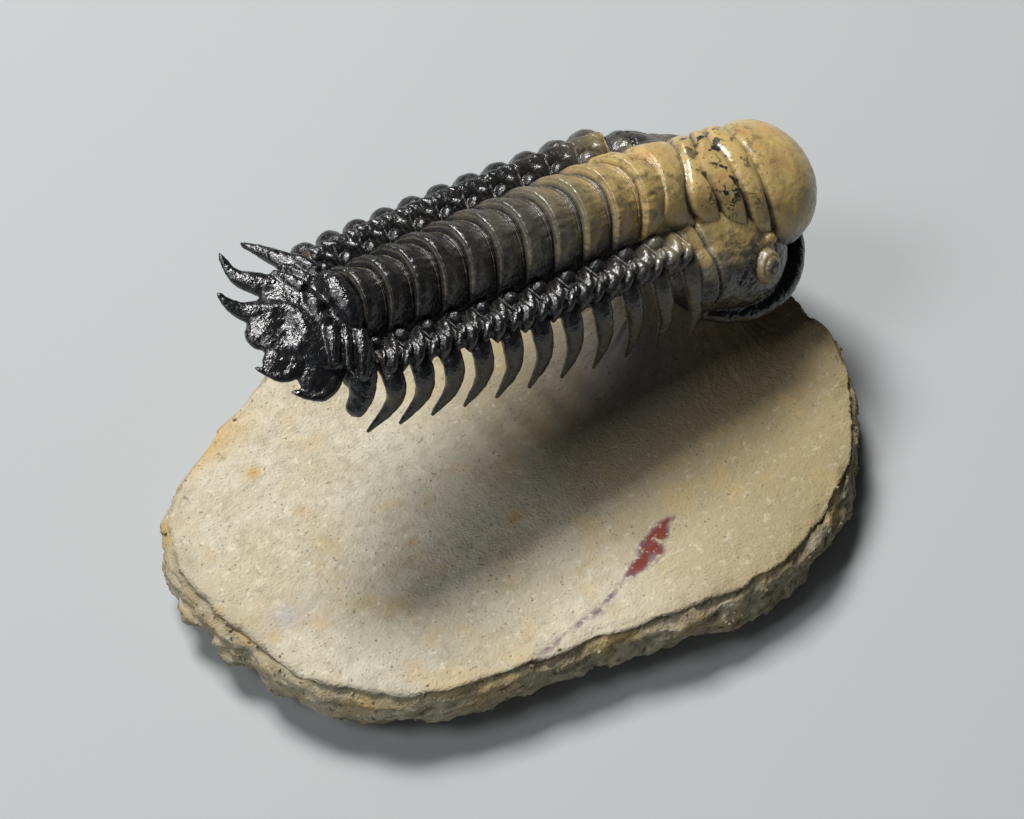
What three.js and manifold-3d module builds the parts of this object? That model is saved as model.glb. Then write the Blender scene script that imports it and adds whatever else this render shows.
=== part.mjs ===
// A cheirurid trilobite, freed from its rock with every spine standing clear, carried above a
// ground slab of its own limestone by a flared pedestal left under the head.
// Millimetres, +Z up. X runs from the tail to the head and the slab's flat underside is z = 0.
import * as THREE from 'three';
import { ParametricGeometry } from 'three/addons/geometries/ParametricGeometry.js';
import * as BufferGeometryUtils from 'three/addons/utils/BufferGeometryUtils.js';
import Module from 'manifold-3d';

// Pose of the fossil over the slab: the middle of the head margin, and its lean in degrees
const BODY_PLACE = [23, 7, 28.5];
const HEAD_DOWN = 9.4;
const FAR_SIDE_UP = 10.5;

// Thorax: eleven segments, numbered from the head
const SEGMENTS = 11;
const PITCH_FIRST = 4.15;
const PITCH_STEP = 0.12;
const AXIS_HALF_WIDTH = 5.5;
const AXIS_NARROWING = 1.5;
const AXIS_RISE = 0.86;
const RING_STEP = 0.55;
const PLEURA_INNER = 3.4;
const PLEURA_OUTER = 1.8;
const PLEURA_THICKNESS = 2.6;
const SPINE_RADIUS = 1.15;
const SPINE_DROP_HEAD = 8.8;
const SPINE_DROP_TAIL = 6.2;

// Head, which is bent down from the first thoracic segment
const HEAD_BEND = 14;
const HEAD_TURN = 10;

// Limestone slab and the pedestal under the head
const SLAB_THICKNESS = 8;
const SLAB_DISH = 1.2;
const UNDERCUT = 3.0;
const RIM_DROP = 5.6;
const RIM_SWELL = 1.4;
const PEDESTAL_CENTRE = [29, 8];
const PEDESTAL_RADIUS = 6.0;
const PEDESTAL_TOP = 16.5;
const FLARE = 3.2;
const REST_GAP = 0.3;

const STONE = new THREE.MeshStandardMaterial({ color: 0xb3a98c, roughness: 0.92, metalness: 0 });
const SHELL = new THREE.MeshStandardMaterial({ color: 0x2b2a2b, roughness: 0.35, metalness: 0 });

const wasm = await Module();
wasm.setup();
const degrees = THREE.MathUtils.degToRad;
const lerp = THREE.MathUtils.lerp;

function toSolid(geometry) {
  const bare = geometry.clone();
  bare.deleteAttribute('normal');
  bare.deleteAttribute('uv');
  const merged = BufferGeometryUtils.mergeVertices(bare, 1e-4);
  const index = merged.index.array;
  const kept = [];
  for (let i = 0; i < index.length; i += 3) {
    const [a, b, c] = [index[i], index[i + 1], index[i + 2]];
    if (a !== b && b !== c && c !== a) kept.push(a, b, c);
  }
  const mesh = new wasm.Mesh({
    numProp: 3,
    vertProperties: new Float32Array(merged.attributes.position.array),
    triVerts: new Uint32Array(kept),
  });
  return new wasm.Manifold(mesh);
}

function toGeometry(solid) {
  const mesh = solid.getMesh();
  const geometry = new THREE.BufferGeometry();
  geometry.setAttribute('position', new THREE.BufferAttribute(new Float32Array(mesh.vertProperties), 3));
  geometry.setIndex(new THREE.BufferAttribute(new Uint32Array(mesh.triVerts), 1));
  geometry.computeVertexNormals();
  return geometry;
}

function turnedOut(solid) {
  if (solid.volume() > 0) return solid;
  const mesh = solid.getMesh();
  const flipped = new Uint32Array(mesh.triVerts);
  for (let i = 0; i < flipped.length; i += 3) [flipped[i], flipped[i + 1]] = [flipped[i + 1], flipped[i]];
  return new wasm.Manifold(new wasm.Mesh({
    numProp: 3, vertProperties: new Float32Array(mesh.vertProperties), triVerts: flipped }));
}

function ellipsoid(centre, radii, turn = [0, 0, 0], columns = 14, rows = 8) {
  const geometry = new THREE.SphereGeometry(1, columns, rows);
  geometry.scale(...radii);
  geometry.rotateX(degrees(turn[0]));
  geometry.rotateY(degrees(turn[1]));
  geometry.rotateZ(degrees(turn[2]));
  geometry.translate(...centre);
  return toSolid(geometry);
}

// A tapered horn along a curve, round-ended at the base and pointed at the tip
function horn(points, radius, flatten = 0.8, steps = 4, sides = 6) {
  const path = new THREE.CatmullRomCurve3(points.map((p) => new THREE.Vector3(...p)));
  const frames = path.computeFrenetFrames(steps, false);
  const surface = (u, v, target) => {
    const at = Math.round(u * steps);
    const closed = at === 0 || at === steps;
    const taper = closed ? 0 : radius * (1 - 0.82 * (at / steps) ** 1.4);
    const angle = -2 * Math.PI * v;
    path.getPoint(at / steps, target);
    target.addScaledVector(frames.normals[at], taper * Math.cos(angle));
    target.addScaledVector(frames.binormals[at], taper * flatten * Math.sin(angle));
  };
  return turnedOut(toSolid(new ParametricGeometry(surface, steps, sides)));
}

function mirrored(build) {
  return [-1, 1].map(build);
}

function unite(solids) {
  return solids.reduce((whole, next) => whole.add(next));
}

// Distance along the body, from the head margin back to the front of segment i
function seam(i) {
  return -(i * PITCH_FIRST - (PITCH_STEP * i * (i - 1)) / 2);
}

function axisHalfWidth(i) {
  return AXIS_HALF_WIDTH - AXIS_NARROWING * (i / SEGMENTS) ** 2;
}

// Height of the segmented back at a place along the body (in segments) and across it
function backHeight(along, across) {
  const half = axisHalfWidth(along);
  const side = Math.abs(across);
  const phase = along - Math.floor(along);
  const shingle = RING_STEP * (phase - 0.6);
  if (side < half) {
    const arch = (1 - (side / half) ** 2) ** 0.72;
    return half * AXIS_RISE * arch + shingle * arch;
  }
  const out = side - half;
  const ridge = 0.7 * Math.sin(Math.PI * Math.min(out / PLEURA_INNER, 1));
  const node = 0.45 * Math.cos(2 * Math.PI * (phase - 0.55));
  const fall = Math.max(out - PLEURA_INNER * 0.7, 0) ** 1.7 * 0.42;
  return ridge * (1 + node) - fall;
}

// The thorax as one closed tube, its back segmented and its underside hollowed
function thorax() {
  const perSegment = 3;
  const around = 32;
  const stations = SEGMENTS * perSegment + 2;
  const first = -0.35;
  const last = SEGMENTS + 0.3;
  const surface = (u, v, target) => {
    const station = Math.round(u * stations);
    const along = lerp(first, last, THREE.MathUtils.clamp((station - 1) / (stations - 2), 0, 1));
    const closed = station === 0 || station === stations;
    const i = Math.floor(along);
    const x = lerp(seam(i), seam(i + 1), along - i);
    const reach = axisHalfWidth(along) + PLEURA_INNER + PLEURA_OUTER;
    const turn = 2 * Math.PI * v;
    const across = reach * Math.cos(turn);
    const edge = backHeight(along, reach);
    const top = backHeight(along, across);
    const under = edge - PLEURA_THICKNESS + 1.6 * (1 - (across / reach) ** 2);
    const rim = Math.sqrt(Math.abs(Math.sin(turn)));
    const z = Math.sin(turn) >= 0 ? lerp(edge - PLEURA_THICKNESS / 2, top, rim)
      : lerp(edge - PLEURA_THICKNESS / 2, under, rim);
    if (closed) target.set(x, 0, 0);
    else target.set(x, across, z);
  };
  return turnedOut(toSolid(new ParametricGeometry(surface, stations, around)));
}

// Claw-like pleural spines: they hang outward near the head and sweep back near the tail
function pleuralSpines() {
  const spines = [];
  for (let i = 0; i < SEGMENTS; i += 1) {
    const toTail = i / (SEGMENTS - 1);
    const x = seam(i + 0.5) + lerp(2.0, -0.3, toTail ** 1.5);
    const root = axisHalfWidth(i) + PLEURA_INNER + PLEURA_OUTER - 0.2;
    const drop = lerp(SPINE_DROP_HEAD, SPINE_DROP_TAIL, toTail);
    const back = lerp(-1.0, 2.4, toTail);
    const out = lerp(2.8, 0.6, toTail);
    for (const side of [-1, 1]) {
      spines.push(horn([
        [x + 0.1, side * (root - 2.6), -0.6],
        [x, side * root, -1.8],
        [x + 0.5 - back * 0.25, side * (root + out * 0.7), -1.8 - drop * 0.45],
        [x - back, side * (root + out), -1.8 - drop],
      ], SPINE_RADIUS));
    }
  }
  return spines;
}

// Tail shield with its three pairs of spines and the blunt lobe between the last pair
function pygidium() {
  const x = seam(SEGMENTS);
  const shield = ellipsoid([x - 3.2, 0, 0.9], [6.4, 7.6, 2.6]);
  const ring = ellipsoid([x - 1.2, 0, 1.7], [2.6, 3.7, 2.6]);
  const lobe = ellipsoid([x - 8.6, 0, 0.9], [3.2, 2.6, 1.6]);
  const spines = mirrored((side) => unite([
    horn([[x - 1, side * 5, 0.5], [x - 2.4, side * 9.2, -0.4], [x - 4.6, side * 10.8, -4.6]], 1.9, 0.8),
    horn([[x - 3, side * 4, 1], [x - 6.4, side * 7.6, 0.8], [x - 10.6, side * 8.6, 2.2]], 2.0, 0.8),
    horn([[x - 4, side * 2, 1], [x - 9, side * 4.4, 1.2], [x - 13.2, side * 4.4, 2.4]], 1.8, 0.8),
  ]));
  return unite([shield, ring, lobe, ...spines]);
}

// Head, in its own frame: x forward from the head margin, z up from the axial furrow
function cephalon() {
  const bulb = ellipsoid([15.8, 0, 0.8], [7.3, 8.2, 7.5], [0, 0, 0], 20, 12);
  const lobes = [
    ellipsoid([11.6, 0, 1.0], [3.3, 7.4, 6.5]),
    ellipsoid([8.6, 0, 0.7], [3.2, 6.6, 5.9]),
    ellipsoid([5.4, 0, 0.4], [3.2, 6.0, 5.4]),
    ellipsoid([1.4, 0, 0.1], [2.6, 5.6, 5.1]),
    ellipsoid([9.5, 0, -3.5], [10, 8, 4.6]),
  ];
  const cheeks = mirrored((side) => unite([
    ellipsoid([9.0, side * 7.4, -4.9], [9.0, 6.0, 5.4], [side * -14, 0, 0], 16, 10),
    ellipsoid([12.6, side * 10.0, -1.6], [1.5, 1.5, 1.6], [0, 0, 0], 10, 6),
    horn([[1.6, side * 6, -0.6], [0.6, side * 11.0, -3.4], [-0.2, side * 12.2, -9.4]], 1.6, 0.8),
  ]));
  const border = ellipsoid([12.4, 0, -5.6], [13.0, 13.2, 3.0], [0, 0, 0], 24, 8);
  return unite([bulb, ...lobes, ...cheeks, border]);
}

function trilobite() {
  const turn = new THREE.Matrix4().makeRotationFromEuler(
    new THREE.Euler(0, degrees(HEAD_BEND), degrees(-HEAD_TURN), 'ZYX'));
  const head = cephalon().transform(turn.elements);
  return unite([thorax(), pygidium(), ...pleuralSpines(), head]);
}

// Top edge of the slab, seen from above
const OUTLINE = new THREE.CatmullRomCurve3([
  [41, -6], [38.5, -15.5], [31.5, -24], [23, -29.2], [12.8, -31.7], [2, -30.2], [-8.7, -27.2],
  [-20.5, -24.4], [-28.5, -21.1], [-36.2, -12.6], [-39.9, 1.7], [-38.8, 11], [-33.5, 17.3],
  [-20.7, 23.6], [-12, 28], [-2, 31], [10, 31.6], [22, 27.5], [32, 20], [38.5, 9],
].map(([x, y]) => new THREE.Vector3(x, y, 0)), true, 'centripetal');

function limestone() {
  const around = 42;
  const rise = [
    ['base', 0], ['base', 1], ['rim', 0], ['rim', 0.5], ['rim', 1],
    ['top', 1], ['top', 0.8], ['top', 0.6], ['top', 0.42], ['top', 0.28], ['top', 0.17], ['top', 0.08],
    ['top', 0], ['cap', 0],
  ];
  const centre = new THREE.Vector3(...PEDESTAL_CENTRE, 0);
  const edge = new THREE.Vector3();
  const surface = (u, v, target) => {
    const [zone, part] = rise[Math.round(u * (rise.length - 1))];
    OUTLINE.getPoint(v % 1, edge);
    const reach = edge.clone().sub(centre);
    const span = reach.length();
    reach.normalize();
    if (zone === 'base') {
      target.copy(centre).addScaledVector(reach, (span - UNDERCUT) * part);
    } else if (zone === 'rim') {
      const swell = RIM_SWELL * Math.sin(Math.PI * part) - UNDERCUT * 0.5 * (1 - part) ** 2;
      target.copy(edge).addScaledVector(reach, swell);
      target.z = lerp(SLAB_THICKNESS - RIM_DROP, SLAB_THICKNESS - 0.5, part);
    } else if (zone === 'top') {
      const run = span - PEDESTAL_RADIUS - 0.6;
      target.copy(centre).addScaledVector(reach, PEDESTAL_RADIUS + run * part);
      const flare = (PEDESTAL_TOP - SLAB_THICKNESS) * Math.exp(-(run * part) / FLARE);
      target.z = SLAB_THICKNESS - SLAB_DISH * Math.sin(Math.PI * part) ** 2 + flare;
    } else {
      target.copy(centre);
      target.z = PEDESTAL_TOP;
    }
  };
  return turnedOut(toSolid(new ParametricGeometry(surface, rise.length - 1, around)));
}

const fossil = trilobite();
const lean = new THREE.Matrix4().makeRotationFromEuler(
  new THREE.Euler(degrees(FAR_SIDE_UP), degrees(HEAD_DOWN), 0, 'ZYX'));
lean.setPosition(...BODY_PLACE);

// The pedestal is cut to fit the underside of the head, a hair's breadth below it
const lowered = new THREE.Matrix4().makeTranslation(0, 0, -REST_GAP).multiply(lean);
const cast = fossil.transform(lowered.elements).add(fossil.transform(lean.elements));
const trimmed = limestone().subtract(cast);
const bed = trimmed.decompose().sort((a, b) => b.volume() - a.volume())[0];

// The group is centred so that its origin is the middle of the footprint, on the ground
const object = new THREE.Group();
const base = new THREE.Mesh(toGeometry(bed), STONE);
base.name = 'limestone_base';
object.add(base);

const body = new THREE.Mesh(toGeometry(fossil), SHELL);
body.name = 'trilobite';
body.applyMatrix4(lean);
object.add(body);

const footprint = new THREE.Box3().setFromObject(object, true).getCenter(new THREE.Vector3());
object.position.set(-footprint.x, -footprint.y, 0);

export default object;
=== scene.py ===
"""A prepared cheirurid trilobite standing free above its limestone slab.

Shapes are worked out in millimetres in the fossil's own frame (x towards the head, y to the far
side, z up from the axial furrows, with the middle of the head margin at zero), then leaned into
place over the slab.
"""
import logging
import math
from dataclasses import dataclass, field
from enum import Enum
from itertools import product

import bpy
import numpy as np
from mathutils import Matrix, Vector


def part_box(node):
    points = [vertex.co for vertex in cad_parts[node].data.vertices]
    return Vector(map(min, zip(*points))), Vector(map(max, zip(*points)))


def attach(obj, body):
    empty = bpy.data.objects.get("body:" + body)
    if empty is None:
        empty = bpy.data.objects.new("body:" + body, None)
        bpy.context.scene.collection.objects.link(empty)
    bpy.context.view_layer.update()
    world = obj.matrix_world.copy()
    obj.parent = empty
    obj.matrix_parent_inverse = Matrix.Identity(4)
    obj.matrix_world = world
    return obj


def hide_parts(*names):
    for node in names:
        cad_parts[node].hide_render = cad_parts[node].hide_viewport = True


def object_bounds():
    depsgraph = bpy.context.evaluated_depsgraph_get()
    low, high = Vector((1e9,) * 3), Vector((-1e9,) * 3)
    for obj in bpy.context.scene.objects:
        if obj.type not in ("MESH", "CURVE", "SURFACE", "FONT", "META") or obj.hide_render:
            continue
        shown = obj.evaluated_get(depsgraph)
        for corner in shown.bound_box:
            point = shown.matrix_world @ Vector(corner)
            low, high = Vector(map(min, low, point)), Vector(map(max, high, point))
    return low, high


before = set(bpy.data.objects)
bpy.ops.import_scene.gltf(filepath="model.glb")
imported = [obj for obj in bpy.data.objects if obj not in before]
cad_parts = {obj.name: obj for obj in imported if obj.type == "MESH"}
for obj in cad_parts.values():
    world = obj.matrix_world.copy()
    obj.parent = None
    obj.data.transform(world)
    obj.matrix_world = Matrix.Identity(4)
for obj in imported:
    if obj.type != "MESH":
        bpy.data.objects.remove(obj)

LOG = logging.getLogger("trilobite")
MM = 0.001
CAD_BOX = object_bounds()
PHOTO_WIDTH = 1024


class Node(Enum):
    """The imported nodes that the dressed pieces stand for."""

    FOSSIL = "trilobite"
    SLAB = "limestone_base"


class Slot(Enum):
    """The record's material slots."""

    SHELL = "fossil_shell"
    STONE = "limestone"


def smooth(low: float, high: float, value: np.ndarray) -> np.ndarray:
    """Smooth step from 0 at low to 1 at high.

    Args:
        low: value where the step starts.
        high: value where the step is complete.
        value: values to step.

    Returns:
        Values from 0 to 1.
    """
    t = np.clip((value - low) / (high - low), 0.0, 1.0)
    return t * t * (3.0 - 2.0 * t)


def bell(value: np.ndarray, centre: float, width: float) -> np.ndarray:
    """Bell curve of height 1.

    Args:
        value: values to read the curve at.
        centre: where the curve peaks.
        width: distance from the peak to where it is about a third high.

    Returns:
        Values from 0 to 1.
    """
    return np.exp(-(((value - centre) / width) ** 2))


class Grain:
    """Seeded smooth noise over points in millimetres."""

    def __init__(self, seed: int) -> None:
        """Draws the lattice.

        Args:
            seed: seed of the random draws.
        """
        draw = np.random.default_rng(seed)
        self.table = np.tile(draw.permutation(256), 3)
        slopes = draw.normal(size=(256, 3))
        self.slopes = slopes / np.linalg.norm(slopes, axis=1, keepdims=True)

    def at(self, points: np.ndarray, size: float) -> np.ndarray:
        """Noise at some points.

        Args:
            points: places, last axis x, y, z.
            size: size of the lumps in millimetres.

        Returns:
            Values from about -1 to 1.
        """
        place = points / size
        cell = np.floor(place).astype(int)
        part = place - cell
        ease = part**3 * (part * (part * 6 - 15) + 10)
        total = np.zeros(points.shape[:-1])
        for corner in product((0, 1), repeat=3):
            x, y, z = np.moveaxis((cell + corner) & 255, -1, 0)
            slope = self.slopes[self.table[self.table[self.table[x] + y] + z]]
            weight = np.prod(np.where(corner, ease, 1 - ease), axis=-1)
            total += weight * ((part - corner) * slope).sum(-1)
        return total * 1.7

    def layers(self, points: np.ndarray, size: float, octaves: int = 4, fade: float = 0.5) -> np.ndarray:
        """Several sizes of noise laid over each other.

        Args:
            points: places, last axis x, y, z.
            size: size of the largest lumps.
            octaves: number of layers, each half the size of the one before.
            fade: strength of each layer against the one before.

        Returns:
            Values from about -1 to 1.
        """
        return sum(fade**k * self.at(points + 37.0 * k, size / 2**k) for k in range(octaves))


def turn(axis: int, degrees: float) -> np.ndarray:
    """Rotation about one axis.

    Args:
        axis: 0, 1 or 2 for x, y or z.
        degrees: angle by the right-hand rule.

    Returns:
        A 3 by 3 matrix.
    """
    c, s = math.cos(math.radians(degrees)), math.sin(math.radians(degrees))
    j, k = (axis + 1) % 3, (axis + 2) % 3
    matrix = np.eye(3)
    matrix[j, j] = matrix[k, k] = c
    matrix[j, k], matrix[k, j] = -s, s
    return matrix


@dataclass(frozen=True)
class Pose:
    """Where the fossil stands over the slab and how its head is bent."""

    from_slab_corner: tuple[float, float, float] = (63.88, 39.53, 28.5)
    head_down: float = 9.4
    far_side_up: float = 10.5
    head_bend: float = 14.0
    head_turn: float = 10.0

    def place(self) -> np.ndarray:
        """Returns the middle of the head margin in the row frame, in millimetres."""
        low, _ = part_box(Node.SLAB.value)
        return np.array(low) / MM + np.array(self.from_slab_corner)

    def lean(self) -> np.ndarray:
        """Returns the rotation from the fossil's frame to the row frame."""
        return turn(1, self.head_down) @ turn(0, self.far_side_up)

    def to_row(self, points: np.ndarray) -> np.ndarray:
        """Points from the fossil's frame to the row frame, both in millimetres."""
        return points @ self.lean().T + self.place()

    def from_head(self, points: np.ndarray) -> np.ndarray:
        """Points from the head's own frame to the fossil's frame."""
        return points @ (turn(2, -self.head_turn) @ turn(1, self.head_bend)).T

    def from_row(self, points: np.ndarray) -> np.ndarray:
        """Points from the row frame to the fossil's frame, both in millimetres."""
        return (points - self.place()) @ self.lean()


def add_object(name: str, mesh: bpy.types.Mesh) -> bpy.types.Object:
    """Links a new object for a mesh.

    Args:
        name: name of the piece.
        mesh: its mesh, in metres in the row frame.

    Returns:
        The object, at the origin.
    """
    mesh.name = name
    piece = bpy.data.objects.new(name, mesh)
    bpy.context.scene.collection.objects.link(piece)
    return piece


def raw_mesh(points: np.ndarray, faces: np.ndarray) -> bpy.types.Mesh:
    """Mesh from plain arrays.

    Args:
        points: vertices in millimetres, in the row frame.
        faces: vertex numbers of each face, all with the same number of corners.

    Returns:
        A smooth shaded mesh in metres.
    """
    corners = faces.shape[1]
    mesh = bpy.data.meshes.new("shape")
    mesh.vertices.add(len(points))
    mesh.vertices.foreach_set("co", (points * MM).astype(np.float32).ravel())
    mesh.loops.add(faces.size)
    mesh.loops.foreach_set("vertex_index", faces.astype(np.int32).ravel())
    mesh.polygons.add(len(faces))
    mesh.polygons.foreach_set("loop_start", np.arange(0, faces.size, corners, dtype=np.int32))
    mesh.update(calc_edges=True)
    mesh.shade_smooth()
    return mesh


def grid_faces(rows: int, columns: int, start: int = 0, close: bool = False) -> np.ndarray:
    """Faces of a grid of vertices numbered row by row.

    Args:
        rows: number of rows of vertices.
        columns: number of vertices in a row.
        start: number of the first vertex.
        close: joins the last column to the first.

    Returns:
        Four vertex numbers for each face.
    """
    r, c = np.meshgrid(np.arange(rows - 1), np.arange(columns - (0 if close else 1)), indexing="ij")
    n = (c + 1) % columns
    quads = np.stack([r * columns + c, r * columns + n, (r + 1) * columns + n, (r + 1) * columns + c], -1)
    return quads.reshape(-1, 4) + start


def paint(mesh: bpy.types.Mesh, **masks: np.ndarray) -> None:
    """Writes one number per vertex for each named mask.

    Args:
        mesh: the mesh to write on.
        masks: values from 0 to 1, one for each vertex.
    """
    for name, values in masks.items():
        layer = mesh.attributes.get(name) or mesh.attributes.new(name, "FLOAT", "POINT")
        layer.data.foreach_set("value", np.clip(values, 0, 1).astype(np.float32).ravel())


def vertices(mesh: bpy.types.Mesh) -> np.ndarray:
    """Reads the vertices of a mesh.

    Args:
        mesh: the mesh, in metres.

    Returns:
        Places in millimetres.
    """
    flat = np.empty(len(mesh.vertices) * 3, np.float32)
    mesh.vertices.foreach_get("co", flat)
    return flat.reshape(-1, 3).astype(float) / MM


def normals(mesh: bpy.types.Mesh) -> np.ndarray:
    """Reads the vertex normals of a mesh.

    Args:
        mesh: the mesh.

    Returns:
        Unit vectors.
    """
    flat = np.empty(len(mesh.vertices) * 3, np.float32)
    mesh.vertex_normals.foreach_get("vector", flat)
    return flat.reshape(-1, 3).astype(float)


def set_vertices(mesh: bpy.types.Mesh, points: np.ndarray) -> None:
    """Moves the vertices of a mesh.

    Args:
        mesh: the mesh to change.
        points: new places in millimetres.
    """
    mesh.vertices.foreach_set("co", (points * MM).astype(np.float32).ravel())
    mesh.update()


def outward(points: np.ndarray, faces: np.ndarray) -> np.ndarray:
    """Turns the faces of a closed shape so that they point out.

    Args:
        points: vertices of the shape.
        faces: quads of the shape.

    Returns:
        The same faces, all turned over if they pointed in.
    """
    a, b, c, d = (points[faces[:, k]] for k in range(4))
    volume = (a * np.cross(b, c)).sum() + (a * np.cross(c, d)).sum()
    return faces if volume > 0 else faces[:, ::-1]


def fused(parts: list[tuple[np.ndarray, np.ndarray]], voxel: float, rounds: int) -> bpy.types.Mesh:
    """Joins overlapping closed shapes in one skin and softens the joins.

    Args:
        parts: vertices in millimetres in the row frame, and quads, of each closed shape.
        voxel: size of the new skin's faces in millimetres.
        rounds: rounds of smoothing.

    Returns:
        The fused mesh.
    """
    points, faces, count = [], [], 0
    for shape, quads in parts:
        points.append(shape)
        faces.append(outward(shape, quads) + count)
        count += len(shape)
    rough = bpy.data.objects.new("rough", raw_mesh(np.concatenate(points), np.concatenate(faces)))
    bpy.context.scene.collection.objects.link(rough)
    remesh = rough.modifiers.new("fuse", "REMESH")
    remesh.mode = "VOXEL"
    remesh.voxel_size = voxel * MM
    soften = rough.modifiers.new("soften", "SMOOTH")
    soften.iterations = rounds
    soften.factor = 0.5
    graph = bpy.context.evaluated_depsgraph_get()
    mesh = bpy.data.meshes.new_from_object(rough.evaluated_get(graph))
    bpy.data.objects.remove(rough)
    mesh.shade_smooth()
    return mesh


def ellipsoid(centre: tuple, radii: tuple, tilt: np.ndarray, count: int = 40) -> tuple:
    """Closed ellipsoid.

    Args:
        centre: its middle.
        radii: its three radii.
        tilt: rotation of its axes.
        count: number of faces round it.

    Returns:
        Vertices and quads.
    """
    u = np.linspace(1e-3, math.pi - 1e-3, count // 2)
    v = np.linspace(0, 2 * math.pi, count, endpoint=False)
    u, v = np.meshgrid(u, v, indexing="ij")
    ball = np.stack([np.cos(u), np.sin(u) * np.cos(v), np.sin(u) * np.sin(v)], -1).reshape(-1, 3)
    shape = (ball * np.array(radii)) @ tilt.T + np.array(centre)
    return shape, capped(count // 2, count)


def capped(rows: int, columns: int) -> np.ndarray:
    """Quads of a tube whose two ends are closed by folding the end rings flat.

    Args:
        rows: number of rings.
        columns: number of vertices in a ring, an even number.

    Returns:
        Four vertex numbers for each face.
    """
    faces = [grid_faces(rows, columns, close=True)]
    half = columns // 2
    for ring, flip in ((0, True), (rows - 1, False)):
        k = np.arange(half - 1)
        lid = np.stack([k, k + 1, columns - 2 - k, columns - 1 - k], -1)
        lid = lid + ring * columns
        faces.append(lid[:, ::-1] if flip else lid)
    return np.concatenate(faces)


def walled(rows: int, columns: int) -> np.ndarray:
    """Quads of two like grids, one under the other, with a wall round their edges.

    Args:
        rows: number of rows of vertices in each grid.
        columns: number of vertices in a row.

    Returns:
        Four vertex numbers for each face.
    """
    size = rows * columns
    grid = np.arange(size).reshape(rows, columns)
    loop = np.concatenate([grid[0, :-1], grid[:-1, -1], grid[-1, :0:-1], grid[:0:-1, 0]])
    after = np.roll(loop, -1)
    wall = np.stack([after, loop, loop + size, after + size], -1)
    return np.concatenate([grid_faces(rows, columns), grid_faces(rows, columns, size)[:, ::-1], wall])


def grid_normals(places: np.ndarray) -> np.ndarray:
    """Normals of a grid of places.

    Args:
        places: rows and columns of places.

    Returns:
        Unit vectors, all on one side of the grid.
    """
    normal = np.cross(np.gradient(places, axis=1), np.gradient(places, axis=0))
    return normal / (np.linalg.norm(normal, axis=-1, keepdims=True) + 1e-9)


def from_table(value: np.ndarray, table: tuple) -> np.ndarray:
    """Reads a table of places and values, straight between its rows."""
    return np.interp(value, [place for place, _ in table], [read for _, read in table])


def smooth_path(points: list[tuple], count: int) -> np.ndarray:
    """Smooth curve through some points.

    Args:
        points: places that the curve passes.
        count: number of places wanted along it.

    Returns:
        Evenly numbered places along the curve.
    """
    p = np.array(points, float)
    p = np.concatenate([[2 * p[0] - p[1]], p, [2 * p[-1] - p[-2]]])
    t = np.linspace(0, len(points) - 1 - 1e-9, count)
    i = t.astype(int)
    f = (t - i)[:, None]
    a, b, c, d = p[i], p[i + 1], p[i + 2], p[i + 3]
    return 0.5 * (2 * b + (c - a) * f + (2 * a - 5 * b + 4 * c - d) * f**2 + (3 * b - a - 3 * c + d) * f**3)


def sweep(path: np.ndarray, radii: np.ndarray, flatten: float, up: tuple, columns: int = 20) -> tuple:
    """Closed tube along a path.

    Args:
        path: places along the middle of the tube.
        radii: radius at each place.
        flatten: thickness across up against the width.
        up: direction that the tube is flattened along.
        columns: number of vertices round it.

    Returns:
        Vertices and quads.
    """
    run = np.gradient(path, axis=0)
    run /= np.linalg.norm(run, axis=1, keepdims=True)
    side = np.cross(run, np.array(up, float))
    side /= np.linalg.norm(side, axis=1, keepdims=True)
    top = np.cross(side, run)
    v = np.linspace(0, 2 * math.pi, columns, endpoint=False)
    ring = side[:, None] * np.cos(v)[:, None] + top[:, None] * flatten * np.sin(v)[:, None]
    shape = path[:, None] + ring * radii[:, None, None]
    return shape.reshape(-1, 3), capped(len(path), columns)


def horn(points: list[tuple], radius: float, tip: float, flatten: float, up: tuple) -> tuple:
    """Tapered spine along a smooth path.

    Args:
        points: places that the spine passes.
        radius: radius at the base.
        tip: radius at the tip.
        flatten: thickness against the width.
        up: direction that it is flattened along.

    Returns:
        Vertices and quads.
    """
    count = 26
    t = np.linspace(0, 1, count)
    taper = 1 - t**1.5
    round_tip = np.sqrt(np.clip((1.0 - t) * 12 + 0.05, 0, 1))
    return sweep(smooth_path(points, count), (tip + (radius - tip) * taper) * round_tip, flatten, up)


@dataclass(frozen=True)
class Lump:
    """Ellipsoid: its middle, its half sizes, its turns in degrees and the faces round it."""

    middle: tuple[float, float, float]
    radii: tuple[float, float, float]
    roll: float = 0.0
    pitch: float = 0.0
    count: int = 40

    def skin(self, start: float = 0.0, side: int = 1, lift: float = 0.0) -> tuple:
        """Closed skin of the lump.

        Args:
            start: place along the body that the lump is measured from.
            side: 1 as given, -1 mirrored to the other side.
            lift: height added to it.

        Returns:
            Vertices and quads.
        """
        x, y, z = self.middle
        tilt = turn(0, side * self.roll) @ turn(1, self.pitch)
        return ellipsoid((start + x, side * y, z + lift), self.radii, tilt, self.count)


@dataclass(frozen=True)
class Horn:
    """Tapered spine: the places it passes, its root and tip radius, and how flat it is."""

    places: tuple[tuple[float, float, float], ...]
    root: float
    tip: float
    flatten: float = 1.0
    up: tuple[float, float, float] = (0, 0, 1)

    def skin(self, start: float = 0.0, side: int = 1) -> tuple:
        """Closed skin of the spine.

        Args:
            start: place along the body that the spine is measured from.
            side: 1 as given, -1 mirrored to the other side.

        Returns:
            Vertices and quads.
        """
        places = [(start + x, side * y, z) for x, y, z in self.places]
        return horn(places, self.root, self.tip, self.flatten, self.up)


@dataclass(frozen=True)
class Pattern:
    """Noise of a finish: lumps to the metre, octaves, and a shift so that no two agree."""

    scale: float
    detail: float
    shift: float = 0.0


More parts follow.
